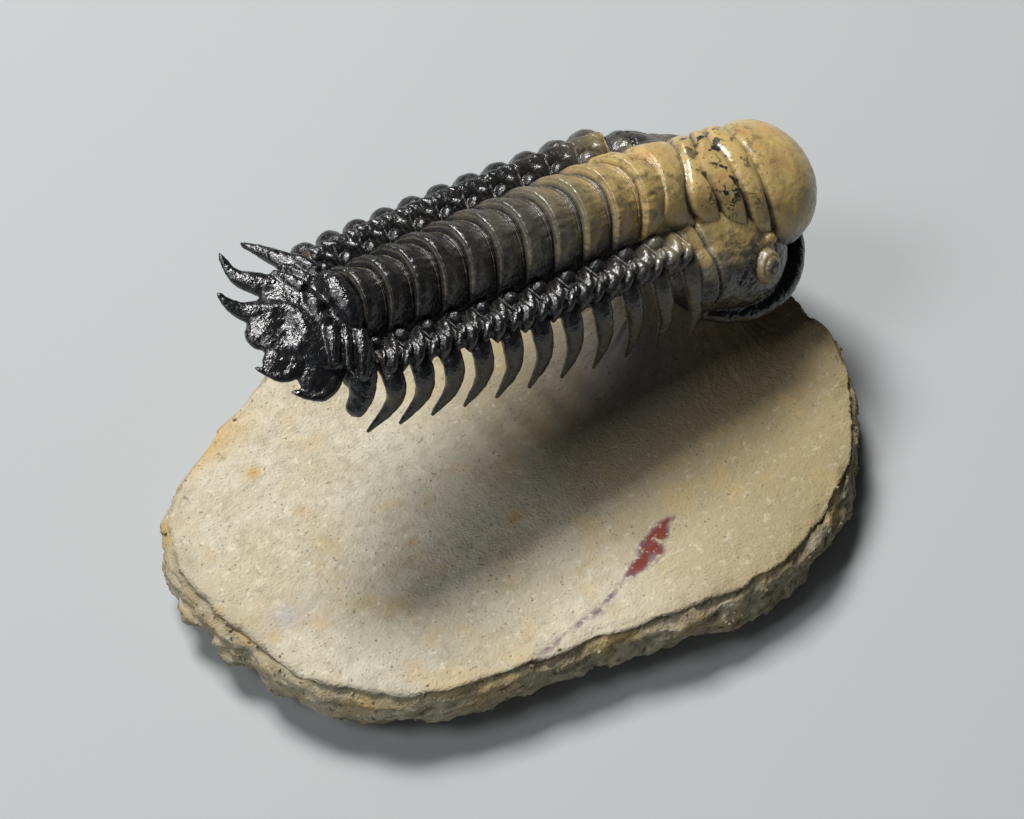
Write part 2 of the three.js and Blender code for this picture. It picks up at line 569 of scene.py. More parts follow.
class FinishTree:
    """Small helper that writes one finish's node tree."""

    def __init__(self, name: str) -> None:
        """Starts an empty material.

        Args:
            name: name of the material.
        """
        self.result = bpy.data.materials.new(name)
        self.result.use_nodes = True
        self.tree = self.result.node_tree
        self.tree.nodes.clear()

    def add(self, kind: str, **settings: object) -> bpy.types.Node:
        """Adds a node.

        Args:
            kind: the node's type.
            settings: properties to set on it.

        Returns:
            The node.
        """
        node = self.tree.nodes.new(kind)
        for key, value in settings.items():
            setattr(node, key, value)
        return node

    def put(self, socket: bpy.types.NodeSocket, value: object) -> None:
        """Links a socket or sets its value.

        Args:
            socket: the input.
            value: an output socket, a number or a colour.
        """
        if isinstance(value, bpy.types.NodeSocket):
            self.tree.links.new(value, socket)
        elif isinstance(value, tuple):
            socket.default_value = (*value, 1.0)[: len(socket.default_value)]
        else:
            socket.default_value = value

    def object_place(self) -> bpy.types.NodeSocket:
        """Returns the place on the object, in metres."""
        return self.add("ShaderNodeTexCoord").outputs["Object"]

    def mask(self, name: str) -> bpy.types.NodeSocket:
        """Returns a painted mask of the mesh."""
        return self.add("ShaderNodeAttribute", attribute_name=name).outputs["Fac"]

    def noise(self, place: bpy.types.NodeSocket, pattern: Pattern) -> bpy.types.NodeSocket:
        """Noise over a place.

        Args:
            place: coordinates.
            pattern: size, detail and shift of the noise.

        Returns:
            Values about 0.5.
        """
        node = self.add("ShaderNodeTexNoise")
        moved = self.add("ShaderNodeVectorMath", operation="ADD")
        shift = pattern.shift
        self.put(moved.inputs[0], place)
        moved.inputs[1].default_value = (shift, shift * 0.7, shift * 1.3)
        self.put(node.inputs["Vector"], moved.outputs[0])
        self.put(node.inputs["Scale"], pattern.scale)
        self.put(node.inputs["Detail"], pattern.detail)
        return node.outputs["Fac"]

    def maths(self, operation: str, first: object, second: object = 0.0) -> bpy.types.NodeSocket:
        """One sum.

        Args:
            operation: its name.
            first: socket or number.
            second: socket or number.

        Returns:
            The result.
        """
        node = self.add("ShaderNodeMath", operation=operation)
        self.put(node.inputs[0], first)
        self.put(node.inputs[1], second)
        return node.outputs[0]

    def plus(self, first: object, second: object) -> bpy.types.NodeSocket:
        """Returns the sum of two values."""
        return self.maths("ADD", first, second)

    def minus(self, first: object, second: object) -> bpy.types.NodeSocket:
        """Returns the first value less the second."""
        return self.maths("SUBTRACT", first, second)

    def times(self, first: object, second: object) -> bpy.types.NodeSocket:
        """Returns the product of two values."""
        return self.maths("MULTIPLY", first, second)

    def larger(self, first: object, second: object) -> bpy.types.NodeSocket:
        """Returns the larger of two values."""
        return self.maths("MAXIMUM", first, second)

    def step(self, value: bpy.types.NodeSocket, low: float, high: float) -> bpy.types.NodeSocket:
        """Smooth step from 0 at low to 1 at high.

        Args:
            value: what to step.
            low: value where the step starts.
            high: value where the step is complete.

        Returns:
            Values from 0 to 1.
        """
        node = self.add("ShaderNodeMapRange", interpolation_type="SMOOTHSTEP")
        self.put(node.inputs["Value"], value)
        self.put(node.inputs["From Min"], low)
        self.put(node.inputs["From Max"], high)
        return node.outputs["Result"]

    def ramp(self, value: bpy.types.NodeSocket, stops: tuple) -> bpy.types.NodeSocket:
        """Colour ramp.

        Args:
            value: where to read it.
            stops: place and colour of each stop.

        Returns:
            The colour.
        """
        node = self.add("ShaderNodeValToRGB")
        line = node.color_ramp.elements
        while len(line) < len(stops):
            line.new(0.5)
        for element, (at, colour) in zip(line, stops):
            element.position = at
            element.color = (*colour, 1.0)
        self.put(node.inputs["Fac"], value)
        return node.outputs["Color"]

    def slide(self, value: bpy.types.NodeSocket, start: tuple, end: tuple) -> bpy.types.NodeSocket:
        """Straight change of a number between two places, level beyond them.

        Args:
            value: where to read it.
            start: first place, and the number there.
            end: last place, and the number there.

        Returns:
            The number.
        """
        node = self.add("ShaderNodeMapRange")
        self.put(node.inputs["Value"], value)
        self.put(node.inputs["From Min"], start[0])
        self.put(node.inputs["From Max"], end[0])
        self.put(node.inputs["To Min"], start[1])
        self.put(node.inputs["To Max"], end[1])
        return node.outputs["Result"]

    def mix(self, share: object, first: object, second: object) -> bpy.types.NodeSocket:
        """Mixes two colours.

        Args:
            share: share of the second.
            first: socket or colour.
            second: socket or colour.

        Returns:
            The colour.
        """
        node = self.add("ShaderNodeMix", data_type="RGBA")
        self.put(node.inputs["Factor"], share)
        self.put(node.inputs[6], first)
        self.put(node.inputs[7], second)
        return node.outputs[2]

    def bump(self, height: bpy.types.NodeSocket, strength: float, distance: float) -> bpy.types.NodeSocket:
        """Bump from a height.

        Args:
            height: the height.
            strength: from 0 to 1.
            distance: height of the relief in metres.

        Returns:
            The normal.
        """
        node = self.add("ShaderNodeBump")
        self.put(node.inputs["Height"], height)
        self.put(node.inputs["Strength"], strength)
        self.put(node.inputs["Distance"], distance)
        return node.outputs["Normal"]

    def finish(self, colour: object, rough: object, normal: bpy.types.NodeSocket,
               specular: float) -> bpy.types.Material:
        """Ends the tree in one shader.

        Args:
            colour: base colour.
            rough: roughness.
            normal: normal.
            specular: level of the mirror reflection.

        Returns:
            The material.
        """
        shader = self.add("ShaderNodeBsdfPrincipled")
        self.put(shader.inputs["Base Color"], colour)
        self.put(shader.inputs["Roughness"], rough)
        self.put(shader.inputs["Normal"], normal)
        shader.inputs["Specular IOR Level"].default_value = specular
        out = self.add("ShaderNodeOutputMaterial")
        self.tree.links.new(shader.outputs[0], out.inputs[0])
        return self.result


@dataclass(frozen=True)
class ShellFinish:
    """Polished calcite shell: graphite black at the tail, tan over the head."""

    slot: Slot = Slot.SHELL
    black: tuple = (0.010, 0.010, 0.011)
    grey: tuple = (0.040, 0.036, 0.032)
    olive: tuple = (0.122, 0.107, 0.074)
    tan: tuple = (0.320, 0.232, 0.096)
    cream: tuple = (0.470, 0.338, 0.130)
    orange: tuple = (0.420, 0.190, 0.055)
    seam: tuple = (0.300, 0.260, 0.190)
    clay: tuple = (0.130, 0.070, 0.025)
    mark: tuple = (0.022, 0.022, 0.026)
    drift: Pattern = Pattern(420.0, 4.0)
    drift_share: float = 0.22
    orange_patches: Pattern = Pattern(300.0, 3.0, 4.7)
    orange_share: float = 0.5
    blotches: Pattern = Pattern(720.0, 6.0, 2.2)
    specks: Pattern = Pattern(2600.0, 2.0, 8.1)
    speck_share: float = 0.75
    veins: Pattern = Pattern(430.0, 6.0, 5.5)
    vein_breaks: Pattern = Pattern(380.0, 3.0, 7.7)
    polish: Pattern = Pattern(1500.0, 3.0, 1.3)
    roughness: tuple = (0.12, 0.32)
    tan_roughness: float = 0.10
    dull_roughness: float = 0.4
    fine_relief: Pattern = Pattern(5200.0, 3.0)
    fine_share: float = 0.40
    lump_relief: Pattern = Pattern(1700.0, 2.0, 3.1)
    tan_calm: float = 0.65
    bump_strength: float = 0.50
    bump_height: float = 0.00030
    specular: float = 0.78

    def tones(self, tree: FinishTree, place: bpy.types.NodeSocket,
              warm: bpy.types.NodeSocket) -> bpy.types.NodeSocket:
        """Shell colour from black to cream, with orange patches where it is warm.

        Args:
            tree: the finish's tree.
            place: place on the object.
            warm: mask that runs from the tail's black to the head's cream; it also carries the painted shade
                and sheen.

        Returns:
            The colour.
        """
        drift = tree.minus(tree.noise(place, self.drift), 0.5)
        level = tree.plus(warm, tree.times(drift, self.drift_share))
        base = tree.ramp(level, ((0.04, self.black), (0.26, self.grey), (0.5, self.olive),
                                 (0.74, self.tan), (0.98, self.cream)))
        patches = tree.step(tree.noise(place, self.orange_patches), 0.56, 0.72)
        patches = tree.times(patches, tree.step(warm, 0.6, 0.85))
        return tree.mix(tree.times(patches, self.orange_share), base, self.orange)

    def marks(self, tree: FinishTree, place: bpy.types.NodeSocket,
              warm: bpy.types.NodeSocket) -> bpy.types.NodeSocket:
        """Dark blotches, broken veins and specks.

        Args:
            tree: the finish's tree.
            place: place on the object.
            warm: mask that runs from the tail's black to the head's cream; it also carries the painted shade
                and sheen.

        Returns:
            Share of the dark colour.
        """
        blotch = tree.step(tree.noise(place, self.blotches), 0.56, 0.61)
        blotch = tree.times(blotch, tree.mask("blotch"))
        speck = tree.step(tree.noise(place, self.specks), 0.66, 0.72)
        speck = tree.times(speck, tree.step(warm, 0.3, 0.6))
        line = tree.maths("ABSOLUTE", tree.minus(tree.noise(place, self.veins), 0.5))
        vein = tree.minus(1.0, tree.step(line, 0.004, 0.022))
        kept = tree.step(tree.noise(place, self.vein_breaks), 0.48, 0.60)
        vein = tree.times(vein, tree.times(kept, tree.mask("blotch")))
        return tree.larger(tree.larger(blotch, vein), tree.times(speck, self.speck_share))

    def material(self) -> bpy.types.Material:
        """Writes the finish.

        Returns:
            The finished material.
        """
        tree = FinishTree(self.slot.value)
        place = tree.object_place()
        warm = tree.mask("warm")
        base = tree.mix(self.marks(tree, place, warm), self.tones(tree, place, warm), self.mark)
        base = tree.mix(tree.mask("clay"), base, self.clay)
        base = tree.mix(tree.mask("seam"), base, self.seam)
        dull = tree.larger(tree.mask("clay"), tree.times(tree.mask("seam"), 0.6))
        glossy, satin = self.roughness
        rough = tree.slide(tree.noise(place, self.polish), (0.3, glossy), (0.7, satin))
        rough = tree.plus(rough, tree.times(warm, self.tan_roughness))
        rough = tree.plus(rough, tree.times(dull, self.dull_roughness))
        fine = tree.times(tree.noise(place, self.fine_relief), self.fine_share)
        relief = tree.plus(fine, tree.noise(place, self.lump_relief))
        relief = tree.times(relief, tree.minus(1.0, tree.times(warm, self.tan_calm)))
        bump = tree.bump(relief, self.bump_strength, self.bump_height)
        return tree.finish(base, rough, bump, self.specular)


@dataclass(frozen=True)
class StoneFinish:
    """Ground limestone with ochre tints, dark specks, one rusty stain and painted shade."""

    slot: Slot = Slot.STONE
    pale: tuple = (0.530, 0.490, 0.390)
    sand: tuple = (0.450, 0.400, 0.285)
    ochre: tuple = (0.470, 0.300, 0.085)
    # Colour of the broken rock, also used for the painted shade on top.
    broken: tuple = (0.255, 0.212, 0.125)
    cool: tuple = (0.300, 0.310, 0.360)
    rust: tuple = (0.165, 0.036, 0.022)
    plum: tuple = (0.150, 0.110, 0.130)
    brown: tuple = (0.30, 0.260, 0.180)
    chalk: tuple = (0.66, 0.61, 0.5)
    grit: tuple = (0.10, 0.09, 0.07)
    clouds: Pattern = Pattern(75.0, 5.0)
    mottle: Pattern = Pattern(700.0, 5.0, 2.0)
    mottle_share: float = 0.40
    chalk_flecks: Pattern = Pattern(1100.0, 4.0, 6.0)
    warm_clouds: Pattern = Pattern(210.0, 4.0, 9.0)
    warm_share: float = 0.28
    grit_specks: Pattern = Pattern(2300.0, 3.0, 12.0)
    grit_share: float = 0.65
    ragged_edge: Pattern = Pattern(1300.0, 4.0, 5.0)
    fine_relief: Pattern = Pattern(3000.0, 5.0, 4.0)
    fine_share: float = 0.8
    broad_relief: Pattern = Pattern(650.0, 3.0, 8.0)
    roughness: float = 0.9
    bump_strength: float = 0.55
    bump_height: float = 0.0005
    specular: float = 0.25

    def tones(self, tree: FinishTree, place: bpy.types.NodeSocket) -> bpy.types.NodeSocket:
        """Pale and sandy stone, darker where it is broken and where shade is painted, with mottle and chalk
        flecks.

        Args:
            tree: the finish's tree.
            place: place on the object.

        Returns:
            The colour.
        """
        base = tree.mix(tree.step(tree.noise(place, self.clouds), 0.35, 0.65), self.pale, self.sand)
        # Broken rock and painted shade share this colour and mask.
        base = tree.mix(tree.mask("broken"), base, self.broken)
        mottle = tree.times(tree.step(tree.noise(place, self.mottle), 0.42, 0.72), self.mottle_share)
        mottle = tree.times(mottle, tree.slide(tree.mask("broken"), (0.0, 1.0), (1.0, 0.6)))
        base = tree.mix(mottle, base, self.brown)
        chalk = tree.step(tree.noise(place, self.chalk_flecks), 0.56, 0.72)
        chalk = tree.times(chalk, tree.slide(tree.mask("broken"), (0.0, 0.55), (1.0, 0.20)))
        return tree.mix(chalk, base, self.chalk)

    def material(self) -> bpy.types.Material:
        """Writes the finish.

        Returns:
            The finished material.
        """
        tree = FinishTree(self.slot.value)
        place = tree.object_place()
        base = self.tones(tree, place)
        warm = tree.times(tree.step(tree.noise(place, self.warm_clouds), 0.52, 0.7), self.warm_share)
        base = tree.mix(tree.larger(warm, tree.mask("ochre")), base, self.ochre)
        base = tree.mix(tree.mask("cool"), base, self.cool)
        grit = tree.step(tree.noise(place, self.grit_specks), 0.64, 0.7)
        base = tree.mix(tree.times(grit, self.grit_share), base, self.grit)
        ragged = tree.step(tree.noise(place, self.ragged_edge), 0.34, 0.47)
        base = tree.mix(tree.times(tree.mask("plum"), ragged), base, self.plum)
        base = tree.mix(tree.times(tree.mask("rust"), ragged), base, self.rust)
        fine = tree.times(tree.noise(place, self.fine_relief), self.fine_share)
        relief = tree.plus(fine, tree.noise(place, self.broad_relief))
        bump = tree.bump(relief, self.bump_strength, self.bump_height)
        return tree.finish(base, self.roughness, bump, self.specular)


class ShapeTree:
    """Small helper that writes one Geometry Nodes tree and runs it on an object."""

    def __init__(self, name: str, inputs: dict[str, str]) -> None:
        """Starts a tree with a geometry input and output and some named inputs.

        Args:
            name: name of the tree.
            inputs: kind of socket for each named input.
        """
        self.tree = bpy.data.node_groups.new(name, "GeometryNodeTree")
        face = self.tree.interface
        face.new_socket("Geometry", in_out="INPUT", socket_type="NodeSocketGeometry")
        for label, kind in inputs.items():
            face.new_socket(label, in_out="INPUT", socket_type=kind)
        face.new_socket("Geometry", in_out="OUTPUT", socket_type="NodeSocketGeometry")
        self.given = self.add("NodeGroupInput").outputs
        self.result = self.add("NodeGroupOutput").inputs["Geometry"]

    def add(self, kind: str, values: dict | None = None, **settings: object) -> bpy.types.Node:
        """Adds a node.

        Args:
            kind: the node's type.
            values: values of its inputs, by name or number.
            settings: properties to set on it.

        Returns:
            The node.
        """
        node = self.tree.nodes.new(kind)
        for key, value in settings.items():
            setattr(node, key, value)
        for socket, value in (values or {}).items():
            node.inputs[socket].default_value = value
        return node

    def link(self, output: bpy.types.NodeSocket, socket: bpy.types.NodeSocket) -> None:
        """Links two sockets."""
        self.tree.links.new(output, socket)

    def end(self, geometry: bpy.types.NodeSocket) -> None:
        """Ends the tree: the instances are made real and the finish is set.

        Args:
            geometry: what the tree has made.
        """
        real = self.add("GeometryNodeRealizeInstances")
        finish = self.add("GeometryNodeSetMaterial")
        self.link(geometry, real.inputs["Geometry"])
        self.link(real.outputs["Geometry"], finish.inputs["Geometry"])
        self.link(self.given["Finish"], finish.inputs["Material"])
        self.link(finish.outputs["Geometry"], self.result)

    def run(self, source: bpy.types.Object, values: dict[str, object]) -> bpy.types.Mesh:
        """Runs the tree on an object, which is then removed.

        Args:
            source: the object that the tree starts from.
            values: values of the named inputs.

        Returns:
            The plain mesh.
        """
        bpy.context.scene.collection.objects.link(source)
        modifier = source.modifiers.new("shape", "NODES")
        modifier.node_group = self.tree
        for item in self.tree.interface.items_tree:
            if item.in_out == "INPUT" and item.name in values:
                modifier[item.identifier] = values[item.name]
        graph = bpy.context.evaluated_depsgraph_get()
        mesh = bpy.data.meshes.new_from_object(source.evaluated_get(graph))
        bpy.data.objects.remove(source)
        return mesh


@dataclass
class Dresser:
    """Gives pieces their finish and ties them to the frame."""

    materials: dict[Slot, bpy.types.Material]

    def dress(self, piece: bpy.types.Object, node: Node, slot: Slot) -> None:
        """Finishes one piece.

        Args:
            piece: the piece.
            node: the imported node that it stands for.
            slot: the record's material slot of its finish.
        """
        piece.data.materials.clear()
        piece.data.materials.append(self.materials[slot])
        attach(piece, "root")
        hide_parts(node.value)
        LOG.info("%s: %d faces", piece.name, len(piece.data.polygons))


@dataclass
class Thorax:
    """Eleven hinged segments, each a ring over the axis with a pleura to either side."""

    pose: Pose
    grain: Grain = field(default_factory=lambda: Grain(11))
    segments: int = 11
    pitch_first: float = 4.15
    pitch_step: float = 0.12
    half_width: float = 5.5
    narrowing: float = 1.5
    rise: float = 0.86
    pleura_arc: float = 6.3
    axis_columns: int = 110
    pleura_columns: int = 74
    shell_thickness: float = 1.1
    inner_gap: float = 0.45
    crest_bow: float = 0.95
    fulcrum: tuple = (2.4, 4.9)
    joint_edge: float = 0.06
    joint_crest: float = 0.115
    joint_depth: float = 0.62
    far_calm: float = 0.80
    furrow_level: float = 0.06
    axis_tones: tuple = ((0, 1.0), (1.1, 0.98), (2.0, 0.74), (3.0, 0.57), (4.4, 0.42), (6.4, 0.25),
                         (9.0, 0.09))
    pleura_tones: tuple = ((0, 0.62), (0.9, 0.42), (1.8, 0.18), (3.5, 0.06))

    def seam(self, along: np.ndarray) -> np.ndarray:
        """Place of a seam along the body; along counts segments from the head."""
        return -(along * self.pitch_first - self.pitch_step * along * (along - 1) / 2)

    def half(self, along: np.ndarray) -> np.ndarray:
        """Half the width of the axis at a place counted in segments."""
        return self.half_width - self.narrowing * (np.clip(along, 0, 99) / self.segments) ** 2

    def pleural_curve(self, out: np.ndarray) -> tuple[np.ndarray, np.ndarray]:
        """Section of a pleura: level to the fulcrum, then bent down.

        Args:
            out: length along the section from the axial furrow.

        Returns:
            Distance out and height.
        """
        steps = np.linspace(0, 9, 181)
        slope = np.radians(10 - 88 * smooth(*self.fulcrum, steps))
        y = np.concatenate([[0], np.cumsum(np.cos(slope[:-1]) * np.diff(steps))])
        z = np.concatenate([[0], np.cumsum(np.sin(slope[:-1]) * np.diff(steps))])
        return np.interp(out, steps, y), np.interp(out, steps, z)

    def ring_relief(self, phase: np.ndarray, swing: np.ndarray) -> np.ndarray:
        """Height of a ring's surface over the plain axis.

        Args:
            phase: 0 at the front seam, 1 at the back seam.
            swing: place over the arch, from -1 to 1.

        Returns:
            Heights in millimetres.
        """
        part = phase / self.half_ring(swing)
        low = -self.joint_depth + 0.20 * bell(part, 0.42, 0.14) + 0.34 * bell(part, 0.84, 0.12)
        back = np.clip((part - 1) / (1 / self.half_ring(swing) - 1), 0, 1)
        body = -0.40 + 0.92 * smooth(-0.05, 0.78, back) - 0.44 * smooth(0.90, 1.0, back) ** 1.5
        relief = low + (body - low) * smooth(0.98, 1.30, part)
        edge = np.clip(1 - np.abs(swing) ** 8, 0, 1)
        return relief * (0.5 + 0.5 * edge)

    def half_ring(self, swing: np.ndarray) -> np.ndarray:
        """Share of a segment taken by the sunken half-ring, widest at the crest."""
        return self.joint_edge + self.joint_crest * (1 - np.abs(swing) ** 2.2)

    def dome(self, out: np.ndarray, run: np.ndarray, spot: tuple, size: tuple, tilt: float,
             height: float, crisp: float = 0.55) -> np.ndarray:
        """One swelling of a pleura.

        Args:
            out: distance out from the furrow.
            run: distance back from the front seam.
            spot: middle of the swelling, out and back.
            size: its two half sizes.
            tilt: turn of its long axis towards the tail, in degrees.
            height: its height.
            crisp: low values give steeper sides.

        Returns:
            Heights in millimetres.
        """
        c, s = math.cos(math.radians(tilt)), math.sin(math.radians(tilt))
        a, b = out - spot[0], run - spot[1]
        reach = ((a * c + b * s) / size[0]) ** 2 + ((b * c - a * s) / size[1]) ** 2
        return height * np.clip(1 - reach, 0, None) ** crisp

    def swellings(self, pitch: float) -> list[tuple]:
        """Swellings of a pleura.

        Args:
            pitch: length of the segment.

        Returns:
            Middle, half sizes, tilt and height of each.
        """
        return [
            ((0.86, 0.70 * pitch), (1.00, 0.26 * pitch), 0, 0.98),
            ((2.15, 0.31 * pitch), (1.90, 0.175 * pitch), 26, 0.98),
            ((3.95, 0.68 * pitch), (2.50, 0.205 * pitch), 12, 0.72),
            ((4.40, 0.22 * pitch), (2.10, 0.14 * pitch), 22, 0.58),
            ((2.70, 0.84 * pitch), (1.00, 0.10 * pitch), 24, 0.62),
        ]

    def pleura_relief(self, out: np.ndarray, phase: np.ndarray, pitch: float) -> np.ndarray:
        """Height of the swellings over the plain pleura.

        Args:
            out: distance out from the furrow.
            phase: 0 at the front seam, 1 at the back seam.
            pitch: length of the segment.

        Returns:
            Heights in millimetres.
        """
        run = phase * pitch
        domes = [self.dome(out, run, *shape) for shape in self.swellings(pitch)]
        relief = -0.42 + 0.18 * smooth(2.6, 4.2, out) + np.maximum.reduce(domes)
        joint = np.maximum(bell(phase, 1.0, 0.045), bell(phase, 0.0, 0.035))
        ridge = 0.34 * joint * smooth(0.1, 0.4, out) * (1 - smooth(2.6, 4.2, out))
        diagonal = out - (1.9 + 2.4 * (0.52 - phase))
        ridge += 0.16 * bell(phase, 0.50, 0.03) * smooth(1.0, 1.5, out) * (1 - smooth(3.2, 4.0, out))
        return relief + ridge - 0.10 * bell(diagonal, 0.0, 0.2) * bell(phase, 0.5, 0.12)

    def grid(self) -> tuple[np.ndarray, np.ndarray, np.ndarray]:
        """Rows and columns of a segment's skin, closest where it is most carved.

        Returns:
            Phase from the front seam, place across the body, and angle over the axis.
        """
        phase = [np.linspace(0, 0.26, 20), np.linspace(0.285, 0.93, 17), np.linspace(0.945, 1, 6)]
        angle = np.linspace(-math.pi / 2, math.pi / 2, self.axis_columns)
        share = np.linspace(0, 1, self.pleura_columns + 1)[1:]
        flank = np.full(len(share), math.pi / 2)
        across = np.concatenate([-1 - share[::-1], np.sin(angle), 1 + share])
        p, t = np.meshgrid(np.concatenate(phase), across, indexing="ij")
        _, psi = np.meshgrid(p[:, 0], np.concatenate([-flank, angle, flank]), indexing="ij")
        return p, t, psi

    def plain(self, number: int, p: np.ndarray, t: np.ndarray,
              psi: np.ndarray) -> tuple[np.ndarray, np.ndarray]:
        """Plain form of a segment, before its relief.

        Args:
            number: counted from 0 at the head.
            p: phase, 0 at the front seam and 1 at the back seam.
            t: place across the body, the axis within 1.
            psi: angle over the axis.

        Returns:
            Places in the fossil's frame, and the distance out along a pleura.
        """
        along = number + p
        limit = self.pleura_arc * (0.80 + 0.20 * bell(p, 0.60, 0.34)) * (1 - 0.008 * number)
        out = np.clip(np.abs(t) - 1, 0, None) * limit
        y_out, z_out = self.pleural_curve(out)
        y = self.half(along) * np.sin(psi) + np.sign(t) * y_out
        z = self.half(along) * self.rise * np.cos(psi).clip(0) ** 1.44 + z_out
        bow = 0.13 * np.clip(out, 0, 3.4) - 0.10 * np.clip(out - 3.4, 0, None)
        arch = self.crest_bow * (1 - np.clip(np.abs(t), 0, 1) ** 2.4)
        return np.stack([self.seam(along) + bow + arch, y, z], -1), out

    def relief(self, base: np.ndarray, p: np.ndarray, t: np.ndarray, out: np.ndarray,
               pitch: float) -> np.ndarray:
        """Height of the finished surface over the plain form.

        Args:
            base: places on the plain form.
            p: phase, 0 at the front seam and 1 at the back seam.
            t: place across the body, the axis within 1.
            out: distance out along a pleura.
            pitch: length of the segment.

        Returns:
            Heights in millimetres.
        """
        on_axis = np.abs(t) <= 1
        calm = 1 - self.far_calm * smooth(1.4, 2.6, out) * (t > 0)
        relief = np.where(on_axis, self.ring_relief(p, t), self.pleura_relief(out, p, pitch) * calm)
        join = smooth(0.0, 0.24, out) + smooth(0.0, 0.02, 1 - np.abs(t)) * on_axis
        relief = relief * join + self.furrow_level * (1 - join)
        wander = self.grain.layers(base, 1.4, 3)
        drawn = self.grain.layers(base * np.array([0.35, 1.6, 1.6]), 0.8, 3)
        return relief + 0.06 * wander + 0.06 * drawn * on_axis

    def segment(self, number: int) -> bpy.types.Object:
        """One thoracic segment as a closed shell.

        Args:
            number: counted from 0 at the head.

        Returns:
            The piece.
        """
        pitch = float(self.seam(number) - self.seam(number + 1))
        p, t, psi = self.grid()
        base, out = self.plain(number, p, t, psi)
        normal = grid_normals(base)
        normal[normal[:, t.shape[1] // 2, 2] < 0] *= -1
        top = base + normal * self.relief(base, p, t, out, pitch)[..., None]
        lift = self.shell_thickness * (1 - smooth(0.0, 1.0, (np.abs(t) - 1.75) / 0.25) * 0.7)
        inner = base - normal * (lift + self.inner_gap)[..., None]
        points = np.concatenate([top.reshape(-1, 3), inner.reshape(-1, 3)])
        mesh = raw_mesh(self.pose.to_row(points), outward(points, walled(*p.shape)))
        phase, across, reach = (np.tile(part.ravel(), 2) for part in (p, t, out))
        self.colour(mesh, phase, across, reach, np.tile((number + p).ravel(), 2), points)
        return add_object(f"segment_{number + 1:02d}", mesh)

    def colour(self, mesh: bpy.types.Mesh, phase: np.ndarray, across: np.ndarray, out: np.ndarray,
               along: np.ndarray, points: np.ndarray) -> None:
        """Paints a segment's masks.

        Args:
            mesh: the segment.
            phase: 0 at the front seam, 1 at the back seam.
            across: place across the body, the axis within 1.
            out: distance out along a pleura.
            along: place along the body in segments.
            points: vertices in the fossil's frame.
        """
        on_axis = np.abs(across) <= 1
        drift = 0.09 * self.grain.layers(points, 5.0, 3)
        pleura_warm = from_table(along, self.pleura_tones) * (1 - 0.5 * smooth(3.0, 5.0, out))
        warm = np.where(on_axis, from_table(along, self.axis_tones), pleura_warm)
        # Painted shade: the shell tone is darkened along the axial furrows from the second segment back.
        painted_furrow_shade = smooth(0.80, 0.99, np.abs(across)) * (1 - smooth(0.2, 0.8, out))
        warm = warm - 0.35 * painted_furrow_shade * (along > 1.0) + drift * (warm > 0.12)
        crest = 1 - 0.35 * np.abs(across).clip(0, 1)
        thin = self.grain.at(points, 0.9) * 0.5 + 0.6
        part = phase / self.half_ring(np.clip(across, -1, 1))
        seam = on_axis * (bell(part, 0.84, 0.07) * 0.55 + bell(part, 0.42, 0.06) * 0.22) * crest
        seam = seam + on_axis * bell(phase, 0.975, 0.012) * 0.40
        # Painted shade: the sunken half-ring at the front of each ring is darkened.
        warm = warm - 0.26 * on_axis * (1 - smooth(0.9, 1.15, part)) * smooth(0.7, 1.6, along)
        pitch = self.pitch_first - self.pitch_step * np.floor(along)
        middle, half, tilt, _ = self.swellings(1.0)[1]
        c, s = math.cos(math.radians(tilt)), math.sin(math.radians(tilt))
        a, b = out - middle[0], (phase - middle[1]) * pitch
        reach = np.hypot((a * c + b * s) / half[0], (b * c - a * s) / (half[1] * pitch))
        pleura = bell(phase, 0.995, 0.022) * (1 - smooth(2.6, 4.0, out)) * 0.5
        pleura = np.maximum(pleura, 0.5 * bell(reach, 1.04, 0.06) * (1 - smooth(2.4, 3.4, out)))
        seam = seam + (~on_axis) * pleura
        clay = on_axis * bell(part, 0.1, 0.22) * 0.3 + (~on_axis) * bell(phase, 1.0, 0.015) * 0.3
        skin = np.arange(len(phase)) < len(phase) // 2
        seam = np.where(skin, seam, 0.0)
        warm = np.where(skin, warm, 0.12)
        paint(mesh, warm=warm, seam=seam * np.clip(thin, 0.1, 1), clay=clay * np.clip(thin + 0.2, 0, 1),
              blotch=0.5 * smooth(0.55, 0.8, warm))

    def build(self) -> list[bpy.types.Object]:
        """Returns all the segments."""
        return [self.segment(number) for number in range(self.segments)]


